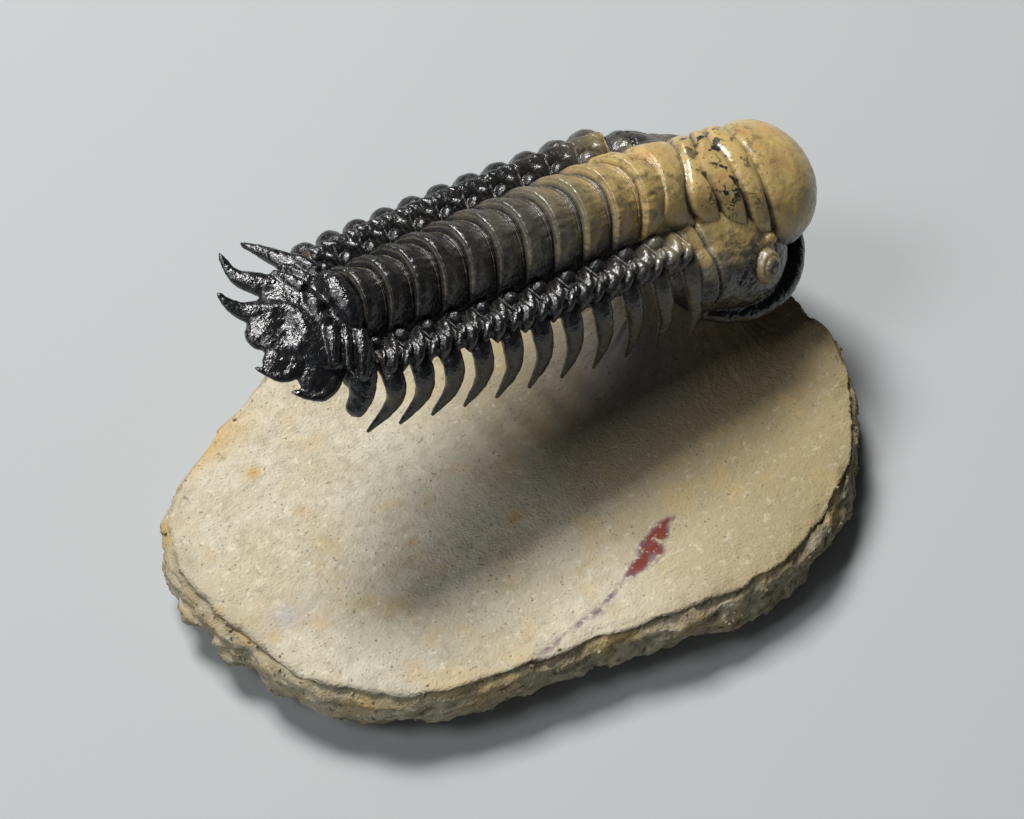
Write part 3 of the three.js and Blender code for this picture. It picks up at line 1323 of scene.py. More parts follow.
@dataclass
class SpineRows:
    """Claw-like pleural spines, one from each end of every segment."""

    pose: Pose
    thorax: Thorax
    radius: float = 1.2
    drop_head: float = 8.8
    drop_tail: float = 6.2
    tip_share: float = 0.16
    flatten: float = 0.72
    taper_power: float = 2.1
    places_along: int = 24
    rings: int = 28
    sides: int = 18
    tones: tuple = ((-14, 0.04), (-7, 0.14), (-2, 0.3), (3, 0.42))

    def path(self, number: int, side: int) -> list[tuple]:
        """Places that one spine passes, in the fossil's frame.

        Args:
            number: segment, from 0 at the head.
            side: -1 for the near side, 1 for the far side.

        Returns:
            Places from the root to the tip.
        """
        t = number / (self.thorax.segments - 1)
        x = float(self.thorax.seam(number + 0.5)) + 2.0 - 2.3 * t**1.5
        root = float(self.thorax.half(number)) + 5.0
        drop = self.drop_head + (self.drop_tail - self.drop_head) * t
        back = -1.0 + 3.4 * t
        out = 2.8 - 2.2 * t
        return [
            (x + 0.1, side * (root - 2.4), -0.7),
            (x, side * root, -2.0),
            (x + 0.5 - back * 0.25, side * (root + out * 0.7), -2.0 - drop * 0.45),
            (x - back, side * (root + out), -1.8 - drop),
        ]

    def tree(self) -> ShapeTree:
        """Writes the node tree that gives each path its tapering horn.

        Returns:
            The tree.
        """
        number = "NodeSocketFloat"
        tree = ShapeTree("spine_rows", {"Root radius": number, "Tip share": number, "Flatten": number,
                                        "Finish": "NodeSocketMaterial"})
        resample = tree.add("GeometryNodeResampleCurve", {"Count": self.rings})
        place = tree.add("GeometryNodeSplineParameter")
        fall = tree.add("ShaderNodeMath", {1: self.taper_power}, operation="POWER")
        taper = tree.add("ShaderNodeMapRange", {"To Min": 1.0})
        radius = tree.add("ShaderNodeMath", operation="MULTIPLY")
        ring = tree.add("GeometryNodeCurvePrimitiveCircle", {"Resolution": self.sides, "Radius": 1.0})
        scale = tree.add("ShaderNodeCombineXYZ", {"X": 1.0, "Z": 1.0})
        squeeze = tree.add("GeometryNodeTransform")
        skin = tree.add("GeometryNodeCurveToMesh", {"Fill Caps": True})
        even = tree.add("GeometryNodeSetShadeSmooth")
        tree.link(tree.given["Geometry"], resample.inputs["Curve"])
        tree.link(place.outputs["Factor"], fall.inputs[0])
        tree.link(fall.outputs[0], taper.inputs["Value"])
        tree.link(tree.given["Tip share"], taper.inputs["To Max"])
        tree.link(taper.outputs["Result"], radius.inputs[0])
        tree.link(tree.given["Root radius"], radius.inputs[1])
        tree.link(radius.outputs[0], skin.inputs["Scale"])
        tree.link(tree.given["Flatten"], scale.inputs["Y"])
        tree.link(ring.outputs["Curve"], squeeze.inputs["Geometry"])
        tree.link(scale.outputs[0], squeeze.inputs["Scale"])
        tree.link(resample.outputs["Curve"], skin.inputs["Curve"])
        tree.link(squeeze.outputs["Geometry"], skin.inputs["Profile Curve"])
        tree.link(skin.outputs["Mesh"], even.inputs["Geometry"])
        tree.end(even.outputs["Geometry"])
        return tree

    def paths(self, name: str, side: int) -> bpy.types.Object:
        """Paths of one row of spines.

        Args:
            name: name of the row.
            side: -1 for the near side, 1 for the far side.

        Returns:
            A curve object, in metres in the row frame.
        """
        curve = bpy.data.curves.new(name, "CURVE")
        curve.dimensions = "3D"
        for number in range(self.thorax.segments):
            places = self.pose.to_row(smooth_path(self.path(number, side), self.places_along)) * MM
            spline = curve.splines.new("POLY")
            spline.points.add(len(places) - 1)
            weighted = np.c_[places, np.ones(len(places))]
            spline.points.foreach_set("co", weighted.astype(np.float32).ravel())
        return bpy.data.objects.new(name + "_paths", curve)

    def build(self, finish: bpy.types.Material) -> list[bpy.types.Object]:
        """Grows both rows of spines.

        Args:
            finish: the shell's material.

        Returns:
            One piece for each row.
        """
        tree = self.tree()
        sizes = {"Root radius": self.radius * MM, "Tip share": self.tip_share, "Flatten": self.flatten,
                 "Finish": finish}
        rows = []
        for side, name in ((-1, "spines_near"), (1, "spines_far")):
            mesh = tree.run(self.paths(name, side), sizes)
            self.weather(mesh)
            rows.append(add_object(name, mesh))
        return rows

    def weather(self, mesh: bpy.types.Mesh) -> None:
        """Gives the spines an uneven skin and their colour.

        Args:
            mesh: a row of spines.
        """
        places = vertices(mesh)
        bumps = self.thorax.grain.layers(places, 1.1, 3)
        set_vertices(mesh, places + normals(mesh) * (0.07 * bumps)[:, None])
        body = self.pose.from_row(places)
        warm = from_table(body[:, 0], self.tones)
        paint(mesh, warm=warm + 0.06 * bumps, seam=0 * warm, clay=0 * warm, blotch=0 * warm)


@dataclass
class TailShield:
    """Pygidium: a hollowed plate with three pairs of spines and a blunt end lobe."""

    pose: Pose
    thorax: Thorax
    voxel: float = 0.13
    rounds: int = 6
    plates: tuple = (
        Lump((-3.0, 0, 0.3), (5.6, 6.4, 1.9)),
        Lump((-6.0, 0.3, 0.3), (4.2, 4.2, 1.4)),
        Lump((-8.2, 0.4, 0.2), (2.5, 2.1, 1.1)),
        Lump((-0.6, 0, 1.4), (1.9, 3.9, 2.6)),
        Lump((-3.2, 0, 1.3), (1.2, 2.6, 1.7)),
        Lump((-5.8, -5.7, -0.7), (2.4, 2.2, 0.95), 22),
        Lump((-8.6, -3.0, -0.1), (2.1, 1.8, 0.85), 14),
        Lump((-2.2, -6.0, -1.2), (1.5, 2.2, 1.2), 34),
    )
    spines: tuple = (
        Horn(((-1.0, 4.2, 0.7), (-2.6, 7.4, 0.5), (-3.6, 9.6, -0.2), (-4.8, 12.0, -0.9)), 1.3, 0.22, 0.8),
        Horn(((-3.6, 3.2, 0.8), (-6.6, 6.0, 0.5), (-8.0, 7.8, 0.5), (-8.4, 10.5, 1.3)), 1.5, 0.2, 0.75),
        Horn(((-5.6, 1.4, 0.8), (-8.6, 2.9, 0.5), (-10.2, 4.2, 0.8), (-11.2, 6.0, 1.6)), 1.5, 0.2, 0.75),
        Horn(((-1.0, -4.0, 0.6), (-1.6, -6.8, -0.5), (-2.3, -8.5, -2.4), (-3.6, -9.2, -4.5)), 1.7, 1.0, 0.8),
        Horn(((-3.2, -3.2, 0.2), (-4.8, -6.1, -0.7), (-6.7, -7.3, -1.2), (-9.3, -6.0, -1.0)),
             1.6, 0.3, 0.62),
        Horn(((-5.4, -1.2, 0.4), (-7.7, -3.7, -0.1), (-9.4, -4.4, -0.3), (-11.6, -2.5, 0.0)),
             1.5, 0.25, 0.62),
    )
    ribs: tuple = (
        Horn(((-0.6, 4.0, 1.5), (-1.5, 6.2, 1.25), (-2.4, 8.2, -0.3)), 0.85, 0.45),
        Horn(((-3.2, 2.6, 1.9), (-3.9, 4.4, 1.7), (-4.7, 6.2, 0.8)), 0.80, 0.45),
        Horn(((-2.0, 3.4, 1.7), (-2.7, 5.2, 1.5), (-3.5, 7.0, 0.5)), 0.55, 0.35),
    )

    def hollows(self, body: np.ndarray, x: float) -> np.ndarray:
        """Depth of the ringed hollow and of the small pit on top of the shield.

        Args:
            body: places in the fossil's frame.
            x: place of the last seam.

        Returns:
            Depths in millimetres.
        """
        ring = np.hypot((body[:, 0] - (x - 7.3)) / 1.5, (body[:, 1] + 0.4) / 1.7)
        dip = 0.42 * bell(ring, 0, 0.8) - 0.22 * bell(ring, 1.35, 0.45) * smooth(-8.2, -7.0, body[:, 0] - x)
        dip += 0.5 * bell(np.hypot((body[:, 0] - (x - 2.8)) / 0.9, (body[:, 1] + 0.9) / 0.6), 0, 1)
        return dip * smooth(0.2, 1.0, body[:, 2])

    def build(self) -> bpy.types.Object:
        """Builds the tail shield, measured from the last seam.

        Returns:
            The piece.
        """
        x = float(self.thorax.seam(self.thorax.segments))
        parts = [form.skin(x) for form in self.plates + self.spines]
        parts += [rib.skin(x, side) for side in (-1, 1) for rib in self.ribs]
        mesh = fused([(self.pose.to_row(shape), quads) for shape, quads in parts], self.voxel, self.rounds)
        places = vertices(mesh)
        lumps = self.thorax.grain.layers(places, 2.4, 2) * 0.07
        pits = self.thorax.grain.layers(places, 0.6, 2) * 0.045
        skin = lumps + pits - self.hollows(self.pose.from_row(places), x)
        set_vertices(mesh, places + normals(mesh) * skin[:, None])
        blank = np.zeros(len(places))
        paint(mesh, warm=blank + 0.02, seam=blank, clay=blank, blotch=blank)
        return add_object("tail_shield", mesh)


@dataclass
class Glabella:
    """Raised middle of the head: occipital ring, side lobes and the swollen front bulb."""

    pose: Pose
    grain: Grain = field(default_factory=lambda: Grain(23))
    rows: int = 230
    columns: int = 260
    occipital: tuple = ((-180, 4.8), (-90, 4.5), (-74, 3.7), (-60, 2.7), (-36, 2.2), (-7, 2.7), (20, 3.4),
                        (50, 4.2), (90, 5.4), (180, 5.6))
    first: tuple = ((-180, 8.8), (-90, 8.1), (-70, 6.9), (-51, 6.1), (-30, 5.3), (-12, 4.7), (10, 5.3),
                    (40, 6.6), (70, 8.2), (90, 9.6), (180, 10.4))
    second: tuple = ((-180, 12.0), (-90, 11.4), (-76, 10.6), (-61, 9.8), (-42, 8.9), (-21, 8.35), (2, 8.1),
                     (26, 8.0), (50, 9.0), (76, 10.6), (90, 11.4), (180, 12.0))
    third: tuple = ((-180, 14.6), (-90, 14.0), (-74, 13.5), (-50, 12.2), (-29, 11.5), (-10, 11.1), (9, 10.9),
                    (40, 11.6), (74, 13.4), (90, 14.0), (180, 14.6))
    furrow_widths: tuple = (0.42, 0.34, 0.36, 0.44)
    furrow_depth: float = 0.62
    pad_height: float = 0.42
    half_widths: tuple = ((-1.0, 5.2), (1.5, 5.5), (4.0, 5.7), (7.0, 6.2), (10.0, 6.9), (12.0, 7.4),
                          (15.8, 8.15))
    half_heights: tuple = ((-1.0, 4.5), (1.5, 4.8), (4.0, 5.1), (7.0, 5.6), (10.0, 6.2), (12.0, 6.5),
                           (15.8, 6.95))
    middles: tuple = ((-1.0, 0.0), (1.5, 0.1), (4.0, 0.3), (7.0, 0.5), (10.0, 0.7), (12.0, 0.75),
                      (15.8, 0.8))
    widest: float = 15.8
    nose_length: float = 7.3
    back_end: float = -0.6
    front_end: float = 23.0
    underside: float = 0.85

    def section(self, x: np.ndarray) -> tuple[np.ndarray, np.ndarray, np.ndarray]:
        """Half width, height and middle height of the glabella.

        Args:
            x: distance forward from the head margin.

        Returns:
            Half width, half height and height of the middle.
        """
        ahead = np.clip(x - self.widest, 0, self.nose_length) / self.nose_length
        nose = np.sqrt(np.clip(1 - ahead**2, 0, 1))
        width, height = from_table(x, self.half_widths), from_table(x, self.half_heights)
        return width * nose, height * nose, from_table(x, self.middles)

    def furrow(self, psi: np.ndarray, table: tuple) -> np.ndarray:
        """Course of a furrow over the glabella.

        Args:
            psi: angle over the top in radians, 0 at the crest and positive on the far side.
            table: angle in degrees and distance forward, point by point.

        Returns:
            Distance forward of the furrow.
        """
        course = smooth_path([(*point, 0) for point in table], 200)
        return np.interp(np.degrees(psi), course[:, 0], course[:, 1])

    def plain(self) -> tuple[np.ndarray, np.ndarray, np.ndarray]:
        """Plain form of the glabella, before its furrows.

        Returns:
            Places in the head's frame, normals, and the angle over the top.
        """
        run = np.sin(np.linspace(0, 1, self.rows) * math.pi / 2) ** 0.92
        x = self.back_end + (self.front_end - self.back_end) * run
        psi = np.linspace(-math.pi, math.pi, self.columns, endpoint=False)
        x, psi = np.meshgrid(x, psi, indexing="ij")
        width, height, middle = self.section(x)
        below = np.where(np.cos(psi) < 0, self.underside, 1.0)
        base = np.stack([x, width * np.sin(psi), middle + height * np.cos(psi) * below], -1)
        normal = grid_normals(base)
        centre = np.stack([np.clip(x, 0, self.widest), 0 * x, middle], -1)
        return base, normal * np.sign(((base - centre) * normal).sum(-1, keepdims=True)), psi

    def build(self) -> bpy.types.Object:
        """Builds the glabella.

        Returns:
            The piece.
        """
        base, normal, psi = self.plain()
        x = base[..., 0]
        lines = [self.furrow(psi, table) for table in (self.occipital, self.first, self.second, self.third)]
        steep = 0.30 + 0.70 * smooth(0.15, 0.85, np.abs(psi))
        margin = np.full_like(x, self.back_end - 0.4)
        relief = self.pad_height * self.pad(x, margin, lines[0]) - 0.30
        strengths = (1.0, smooth(0.05, 0.5, np.abs(psi)), steep, steep)
        depth = np.zeros_like(x)
        for line, strength, wide in zip(lines, strengths, self.furrow_widths):
            depth = np.maximum(depth, strength * bell(x, line, wide * 0.75))
            relief -= self.furrow_depth * (strength * bell(x, line, wide))
        raised = (smooth(0.2, 0.6, np.abs(psi)), steep, steep)
        for before, after, height in zip(lines[:-1], lines[1:], raised):
            relief += self.pad_height * self.pad(x, before, after) * height
        relief += 0.30 * smooth(0.0, 2.2, x - lines[3]) * (x > lines[3])
        relief += 0.07 * self.grain.layers(base, 2.8, 4) + 0.03 * self.grain.layers(base, 0.7, 2)
        base = base + normal * relief[..., None]
        points = base.reshape(-1, 3)
        quads = outward(points, capped(self.rows, self.columns))
        mesh = raw_mesh(self.pose.to_row(self.pose.from_head(points)), quads)
        shade = smooth(1.15, 1.9, np.abs(psi))
        drift = self.grain.layers(base, 3.0, 3)
        deep = depth * smooth(0.35, 1.1, np.abs(psi))
        # Painted shade: the shell tone is darkened in the furrows, most on the steep sides, and over the
        # sides and underside of the glabella; the clay in the furrows is matrix.
        warm = 0.93 + 0.16 * drift - 0.25 * depth * steep - 0.80 * deep**2 - 0.90 * shade
        blotch = 0.35 + 0.75 * bell(x, 7.0, 3.4) - 0.4 * smooth(13.0, 15.0, x)
        blotch = np.maximum(blotch, 0.95 * depth * steep)
        paint(mesh, warm=warm, seam=0.25 * bell(x, lines[0] - 1.0, 0.12), clay=0.40 * depth * steep,
              blotch=blotch)
        return add_object("glabella", mesh)

    def pad(self, x: np.ndarray, before: np.ndarray, after: np.ndarray) -> np.ndarray:
        """Rounded swelling between two furrows, from 0 at each to 1 half way."""
        share = np.clip((x - before) / np.clip(after - before, 0.3, None), 0, 1)
        return np.sqrt(1 - (2 * share - 1) ** 2)


@dataclass
class HeadShield:
    """Cheeks, eyes, genal spines and the border that runs round the front of the head."""

    pose: Pose
    grain: Grain = field(default_factory=lambda: Grain(31))
    voxel: float = 0.16
    rounds: int = 4
    core: tuple = (Lump((10.2, 0, -3.6), (11.0, 9.5, 4.4)),
                   Lump((12.4, 0, -5.8), (11.7, 11.9, 2.9), 0.0, -2, 72))
    cheek: tuple = (Lump((10.0, 6.6, -4.0), (8.6, 6.7, 4.1), -33, 0.0, 72),
                    Lump((6.4, 8.2, -5.4), (4.6, 4.8, 4.4), -33),
                    Lump((13.2, 8.1, -0.45), (0.85, 0.80, 0.75), 0.0, 0.0, 28))
    near_lift: float = 1.8
    border_middle: tuple = (12.8, 0.0, -6.9)
    border_reach: tuple = (11.7, 12.0)
    border_sweep: float = 118.0
    border_radius: float = 1.15
    eye_size: tuple = (1.9, 2.05, 1.65)
    eye_turn: float = -48.0
    eye_near: tuple = (12.5, -10.3, -0.7)
    eye_far: tuple = (13.3, 10.2, -4.6)

    def border(self) -> tuple[np.ndarray, np.ndarray]:
        """Rolled edge round the front of the head, raised in front.

        Returns:
            Vertices and quads.
        """
        x, y, z = self.border_middle
        wide, deep = self.border_reach
        rim = []
        for bearing in np.radians(np.linspace(-self.border_sweep, self.border_sweep, 17)):
            ahead, aside = math.cos(bearing), math.sin(bearing)
            rim.append((x + wide * ahead, y + deep * aside, z + 1.9 * ahead + max(ahead, 0) ** 2))
        return sweep(smooth_path(rim, 100), np.full(100, self.border_radius), 0.95, (0, 0, 1), 24)

    def genal_spine(self, side: int, lift: float) -> tuple[np.ndarray, np.ndarray]:
        """Spine at the back corner of one cheek.

        Args:
            side: -1 for the near side, 1 for the far side.
            lift: height of the cheek over the far one's.

        Returns:
            Vertices and quads.
        """
        places = ((4.2, 7.0, -2.4 + lift), (5.2, 9.0, -3.4 + lift * 0.7), (6.0, 10.8, -5.8),
                  (6.8, 11.9, -9.0))
        return Horn(places, 1.50, 0.50, 0.75, (1, 0, 0)).skin(0.0, side)

    def build(self) -> list[bpy.types.Object]:
        """Builds the shield and the two eyes.

        Returns:
            The pieces.
        """
        parts = [form.skin() for form in self.core]
        parts.append(self.border())
        for side, lift in ((-1, self.near_lift), (1, 0.0)):
            parts += [form.skin(0.0, side, lift) for form in self.cheek]
            parts.append(self.genal_spine(side, lift))
        row = [(self.pose.to_row(self.pose.from_head(shape)), quads) for shape, quads in parts]
        mesh = fused(row, self.voxel, self.rounds)
        places = vertices(mesh)
        body = self.pose.from_row(places)
        head = body @ (turn(2, -self.pose.head_turn) @ turn(1, self.pose.head_bend))
        x, y, z = head.T
        cheek = bell(np.hypot((x - 12) / 6.0, (np.abs(y) - 10.5) / 3.2), 0, 1)
        pits = np.clip(self.grain.layers(places, 0.8, 3), -1, 0.1) * 0.20 * cheek
        ahead = x - (3.3 + 0.31 * (np.abs(y) - 4.8))
        above = smooth(-8.5, -6.0, z)
        groove = (0.46 * bell(ahead, 0.0, 0.20) - 0.26 * (1 - smooth(-0.5, 0.0, ahead))) * above
        skin = 0.06 * self.grain.layers(places, 1.6, 3) + pits - groove
        set_vertices(mesh, places + normals(mesh) * skin[:, None])
        # Painted shade: the shell tone darkens towards the lower parts of the cheeks and border, and along
        # the groove at the back of the cheeks.
        warm = 0.76 - 0.022 * np.clip(x - 6, 0, 12) - 0.150 * np.clip(1.4 - z, 0, 9)
        warm = warm + 0.08 * (1 - smooth(-0.4, 0.1, ahead)) - 0.22 * bell(ahead, 0.0, 0.16) * above
        warm = warm + 0.25 * bell(np.hypot(x - 13.2, np.abs(y) - 8.1), 0, 1.2)
        warm = warm + 0.20 * self.grain.layers(places, 2.6, 3)
        blank = np.zeros(len(places))
        paint(mesh, warm=warm, seam=blank, clay=blank, blotch=0.7 * cheek + 0.2)
        pieces = [add_object("head_shield", mesh)]
        for side, name in ((-1, "eye_near"), (1, "eye_far")):
            pieces.append(self.eye(side, name))
        return pieces

    def eye(self, side: int, name: str) -> bpy.types.Object:
        """One button eye with a raised lip round its crown.

        Args:
            side: -1 for the near side, 1 for the far side.
            name: name of the piece.

        Returns:
            The piece.
        """
        facing = turn(0, side * self.eye_turn) @ turn(1, -90)
        shape, quads = ellipsoid((0, 0, 0), self.eye_size, np.eye(3), 96)
        reach = np.hypot(shape[:, 1] / self.eye_size[1], shape[:, 2] / self.eye_size[2]) * 1.2
        lip = 0.07 * bell(reach, 0.98, 0.12) * (shape[:, 0] > 0)
        hollow = 0.13 * bell(reach, 0.80, 0.08) * (shape[:, 0] > 0)
        length = np.linalg.norm(shape, axis=1, keepdims=True)
        shape = shape * (1 + (lip - hollow)[:, None] / length)
        shape = shape + shape * (0.03 * self.grain.layers(shape + 9.0 * side, 0.5, 2))[:, None]
        placed = shape @ facing.T + np.array(self.eye_near if side < 0 else self.eye_far)
        mesh = raw_mesh(self.pose.to_row(self.pose.from_head(placed)), outward(placed, quads))
        blank = np.zeros(len(shape))
        sheen_and_spots = 1 - smooth(0.40, 0.74, reach)
        spots = smooth(0.1, 0.3, self.grain.layers(shape, 0.9, 2))
        # Painted sheen: the front of the lens is greyed as a pearly reflection; the orange-brown spots in it
        # are its own colour.
        warm = (0.62 - 0.30 * sheen_and_spots * (shape[:, 0] > 0)) + 0.42 * sheen_and_spots * spots
        paint(mesh, warm=warm, seam=0.30 * bell(reach, 0.98, 0.09), clay=0.35 * bell(reach, 0.80, 0.07),
              blotch=blank + 0.3)
        return add_object(name, mesh)


@dataclass
class Belly:
    """Rock that fills the hollow under the rings."""

    pose: Pose
    thorax: Thorax

    def build(self) -> bpy.types.Object:
        """Builds the filling.

        Returns:
            The piece.
        """
        rows, columns = 90, 60
        along = np.linspace(-0.2, self.thorax.segments + 0.6, rows)
        v = np.linspace(0, 2 * math.pi, columns, endpoint=False)
        a, v = np.meshgrid(along, v, indexing="ij")
        half = self.thorax.half(a) + 3.4
        close = np.sqrt(np.clip(1 - np.abs((a - 5.6) / 6.0) ** 8, 0.02, 1))
        y = half * np.cos(v) * close
        z = np.where(np.sin(v) > 0, 1.2, 1.6) * np.sin(v) * close - 2.1
        z = z + np.where(np.sin(v) < 0, 0.9 * (1 - (y / half) ** 2), 0)
        points = np.stack([self.thorax.seam(a), y, z], -1)
        points[..., 2] += 0.18 * self.thorax.grain.layers(points, 2.0, 3)
        points = points.reshape(-1, 3)
        mesh = raw_mesh(self.pose.to_row(points), outward(points, capped(rows, columns)))
        blank = np.zeros(len(points))
        paint(mesh, warm=blank + 0.24, seam=blank, clay=blank + 0.5, blotch=blank + 0.5)
        return add_object("belly_filling", mesh)


@dataclass
class Slab:
    """Ground limestone slab whose rock rises in a flared pedestal under the head."""

    grain: Grain = field(default_factory=lambda: Grain(47))
    outline: tuple = (
        (41, -6), (38.5, -15.5), (31.5, -24), (23, -29.2), (12.8, -31.7), (2, -30.2), (-8.7, -27.2),
        (-20.5, -24.4), (-28.5, -21.1), (-36.2, -12.6), (-39.9, 1.7), (-38.8, 11), (-33.5, 17.3),
        (-20.7, 23.6), (-12, 28), (-2, 31), (10, 31.6), (22, 27.5), (32, 20), (38.5, 9),
    )
    slab_corner: tuple = (-40.92, -32.53)
    thickness: float = 8.0
    dish: float = 1.2
    pedestal: tuple = (29.0, 8.0)
    pedestal_radius: float = 5.9
    pedestal_top: float = 16.3
    flare: float = 3.3
    around: int = 640
    bearing_inset: float = 6.0
    rim_rings: int = 40
    top_rings: int = 92
    ochre_patch: tuple = (-29, 20)
    ochre_spots: tuple = ((-25.2, 13.4, 0.9), (-34.3, -6.2, 0.7), (-4.7, -7.8, 0.9), (-15.9, -4.3, 0.5))
    cool_patches: tuple = ((18, 2, 7, 6, 0.60), (-32, -5, 2.6, 2, 0.45))
    stain: tuple = ((8.6, -18.0), (5.3, -19.8), (2.4, -21.0), (-0.8, -21.9), (-4.7, -23.2), (-8.7, -23.4),
                    (-12.3, -23.9), (-14.9, -24.4))
    stain_widths: tuple = ((0, 0.5), (0.5, 1.3), (1.5, 1.5), (2.5, 0.8), (3.2, 0.5), (7.0, 0.35))

    def shift(self) -> np.ndarray:
        """Returns the move from the outline's own frame to the row frame."""
        low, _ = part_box(Node.SLAB.value)
        return np.array([low[0] / MM - self.slab_corner[0], low[1] / MM - self.slab_corner[1], 0])

    def edge(self) -> np.ndarray:
        """Top edge, evenly numbered round the pedestal.

        Returns:
            Direction and distance of each place, seen from the pedestal.
        """
        points = [(*p, 0) for p in self.outline]
        closed = smooth_path(points[-2:] + points + points[:3], 2600)[:, :2]
        angle = np.arctan2(closed[:, 1] - self.pedestal[1], closed[:, 0] - self.pedestal[0])
        reach = np.hypot(closed[:, 1] - self.pedestal[1], closed[:, 0] - self.pedestal[0])
        want = np.linspace(-math.pi, math.pi, self.around, endpoint=False)
        order = np.argsort(angle)
        far = np.interp(want, angle[order], reach[order], period=2 * math.pi)
        return np.stack([np.cos(want), np.sin(want), far], -1)

    def rings(self, bearing: np.ndarray, far: np.ndarray) -> list[tuple[np.ndarray, np.ndarray, float]]:
        """Rings from the middle of the underside, round the rim and up to the pedestal's top.

        Args:
            bearing: direction of each vertex of a ring, in radians.
            far: distance of the top edge in that direction.

        Returns:
            For each ring its reach, its height, and 1 on the underside and rim or 0 on top.
        """
        level = np.zeros(self.around)
        flat = far - self.bearing_inset
        rings = [(flat * share, level, 1.0) for share in (0.02, 0.3, 0.6, 0.8, 0.92, 1.0)]
        under = 2.6 - 1.4 * bell(bearing, -1.75, 0.5) + 0.8 * bell(bearing, -2.6, 0.5)
        for part in np.linspace(0.03, 1.0, self.rim_rings):
            lift = 0.15 + (self.thickness - 0.4) * part
            cut = -4.6 * np.clip(1 - lift / (under + 1.2), 0, 1) ** 1.3
            reach = far - 0.9 + cut + 0.5 * math.sin(math.pi * part) - 1.1 * smooth(0.82, 1.0, part) ** 2
            rings.append((reach, level + lift, 1.0))
        span = far - 1.9 - self.pedestal_radius
        for share in np.linspace(1, 0, self.top_rings) ** 1.25:
            rise = (self.pedestal_top - self.thickness) * np.exp(-span * share / self.flare)
            sink = self.dish * np.sin(math.pi * np.clip(share, 0, 1)) ** 2
            rings.append((self.pedestal_radius + span * share, self.thickness - sink + rise, 0.0))
        for share in (0.8, 0.5, 0.2, 0.02):
            rings.append((level + self.pedestal_radius * share, level + self.pedestal_top, 0.0))
        return rings

    def build(self) -> bpy.types.Object:
        """Builds the slab.

        Returns:
            The piece.
        """
        edge = self.edge()
        run, far = edge[:, :2], edge[:, 2]
        rings = self.rings(np.arctan2(run[:, 1], run[:, 0]), far)
        middle = np.array(self.pedestal)
        points = np.concatenate([np.c_[middle + run * reach[:, None], height] for reach, height, _ in rings])
        kind = np.repeat([kind for _, _, kind in rings], self.around)
        points, masks = self.weather(points, kind)
        mesh = raw_mesh(points + self.shift(), outward(points, capped(len(rings), self.around)))
        paint(mesh, **masks)
        return add_object("limestone_slab", mesh)

    def stain_gap(self, x: np.ndarray, y: np.ndarray) -> tuple[np.ndarray, np.ndarray]:
        """Where some places lie against the course of the rusty stain.

        Args:
            x: places towards the head.
            y: places towards the far side.

        Returns:
            Distance from the course, and place along it counted in its points.
        """
        gap = np.full(len(x), 99.0)
        along = np.zeros(len(x))
        course = np.array(self.stain)
        for k, (a, step) in enumerate(zip(course, np.diff(course, axis=0))):
            t = np.clip(((x - a[0]) * step[0] + (y - a[1]) * step[1]) / (step**2).sum(), 0, 1)
            d = np.hypot(x - a[0] - t * step[0], y - a[1] - t * step[1])
            along = np.where(d < gap, k + t, along)
            gap = np.minimum(d, gap)
        return gap, along

    def weather(self, points: np.ndarray, kind: np.ndarray) -> tuple[np.ndarray, dict]:
        """Breaks the rim, roughens the top and paints the stone, with painted shade towards the head end and
        round the pedestal.

        Args:
            points: vertices in the outline's frame.
            kind: 1 on the rim and underside, 0 on top.

        Returns:
            Moved vertices and the masks.
        """
        x, y, z = points.T
        away = np.hypot(x - self.pedestal[0], y - self.pedestal[1])
        angle = np.arctan2(y - self.pedestal[1], x - self.pedestal[0])
        round_it = np.linspace(-math.pi, math.pi, self.around, endpoint=False)
        inset = np.interp(angle, round_it, self.edge()[:, 2], period=2 * math.pi) - away
        rim = kind * smooth(0.02, 0.6, z)
        crumble = self.grain.layers(points, 4.2, 5, 0.62)
        ledge = self.grain.layers(points * np.array([0.7, 0.7, 2.4]), 2.6, 3)
        flakes = np.abs(self.grain.layers(points * np.array([1, 1, 1.6]), 1.5, 3)) * rim
        calm = 0.5 * np.clip(0.75 * crumble + 0.45 * ledge, -1.4, 0.95) - 0.30 * flakes
        push = rim * (calm * (2.0 - smooth(5.5, 7.7, z)) + 0.12 * self.grain.layers(points, 0.8, 2))
        unit = np.stack([x - self.pedestal[0], y - self.pedestal[1]], -1) / (away[:, None] + 1e-6)
        moved = points.copy()
        moved[:, :2] += unit * push[:, None]
        brink = np.where(kind > 0.5, smooth(5.6, 7.6, z), 1.0)
        lip = brink * bell(inset, 1.6, 1.6)
        fade = (1 - kind) * bell(inset, 1.9, 1.0)
        moved[:, :2] += unit * (calm * fade)[:, None]
        wave = self.grain.layers(points, 9.0, 4)
        top = brink * (0.16 * wave + 0.045 * self.grain.layers(points, 0.8, 3))
        chips = lip * np.clip(self.grain.layers(points, 2.6, 4), -1, 0.1) * 0.7
        fan = bell(away, 10.0, 5.0) * (1 - kind)
        comb = self.grain.at(np.stack([np.cos(angle) * 22, np.sin(angle) * 22, away * 0.25], -1), 1.3)
        moved[:, 2] += top + chips + 0.20 * fan * comb
        moved[:, 2] = np.clip(moved[:, 2], 0.0, None)
        patch = np.hypot((x - self.ochre_patch[0]) / 7, (y - self.ochre_patch[1]) / 3.0)
        streaks = rim * smooth(0.0, 0.5, self.grain.layers(points, 7, 3)) * smooth(4, 7, z)
        ochre = np.maximum(0.85 * bell(patch, 0, 1), 0.5 * streaks)
        for sx, sy, size in self.ochre_spots:
            ochre = np.maximum(ochre, 0.9 * bell(np.hypot(x - sx, y - sy), 0, size))
        ochre = np.maximum(ochre, 0.10 * (1 - kind) * smooth(-20, 25, x - 0.4 * y))
        cool = np.zeros(len(x))
        for cx, cy, wide, deep, strength in self.cool_patches:
            cool = np.maximum(cool, strength * bell(np.hypot((x - cx) / wide, (y - cy) / deep), 0, 1))
        gap, along = self.stain_gap(x, y)
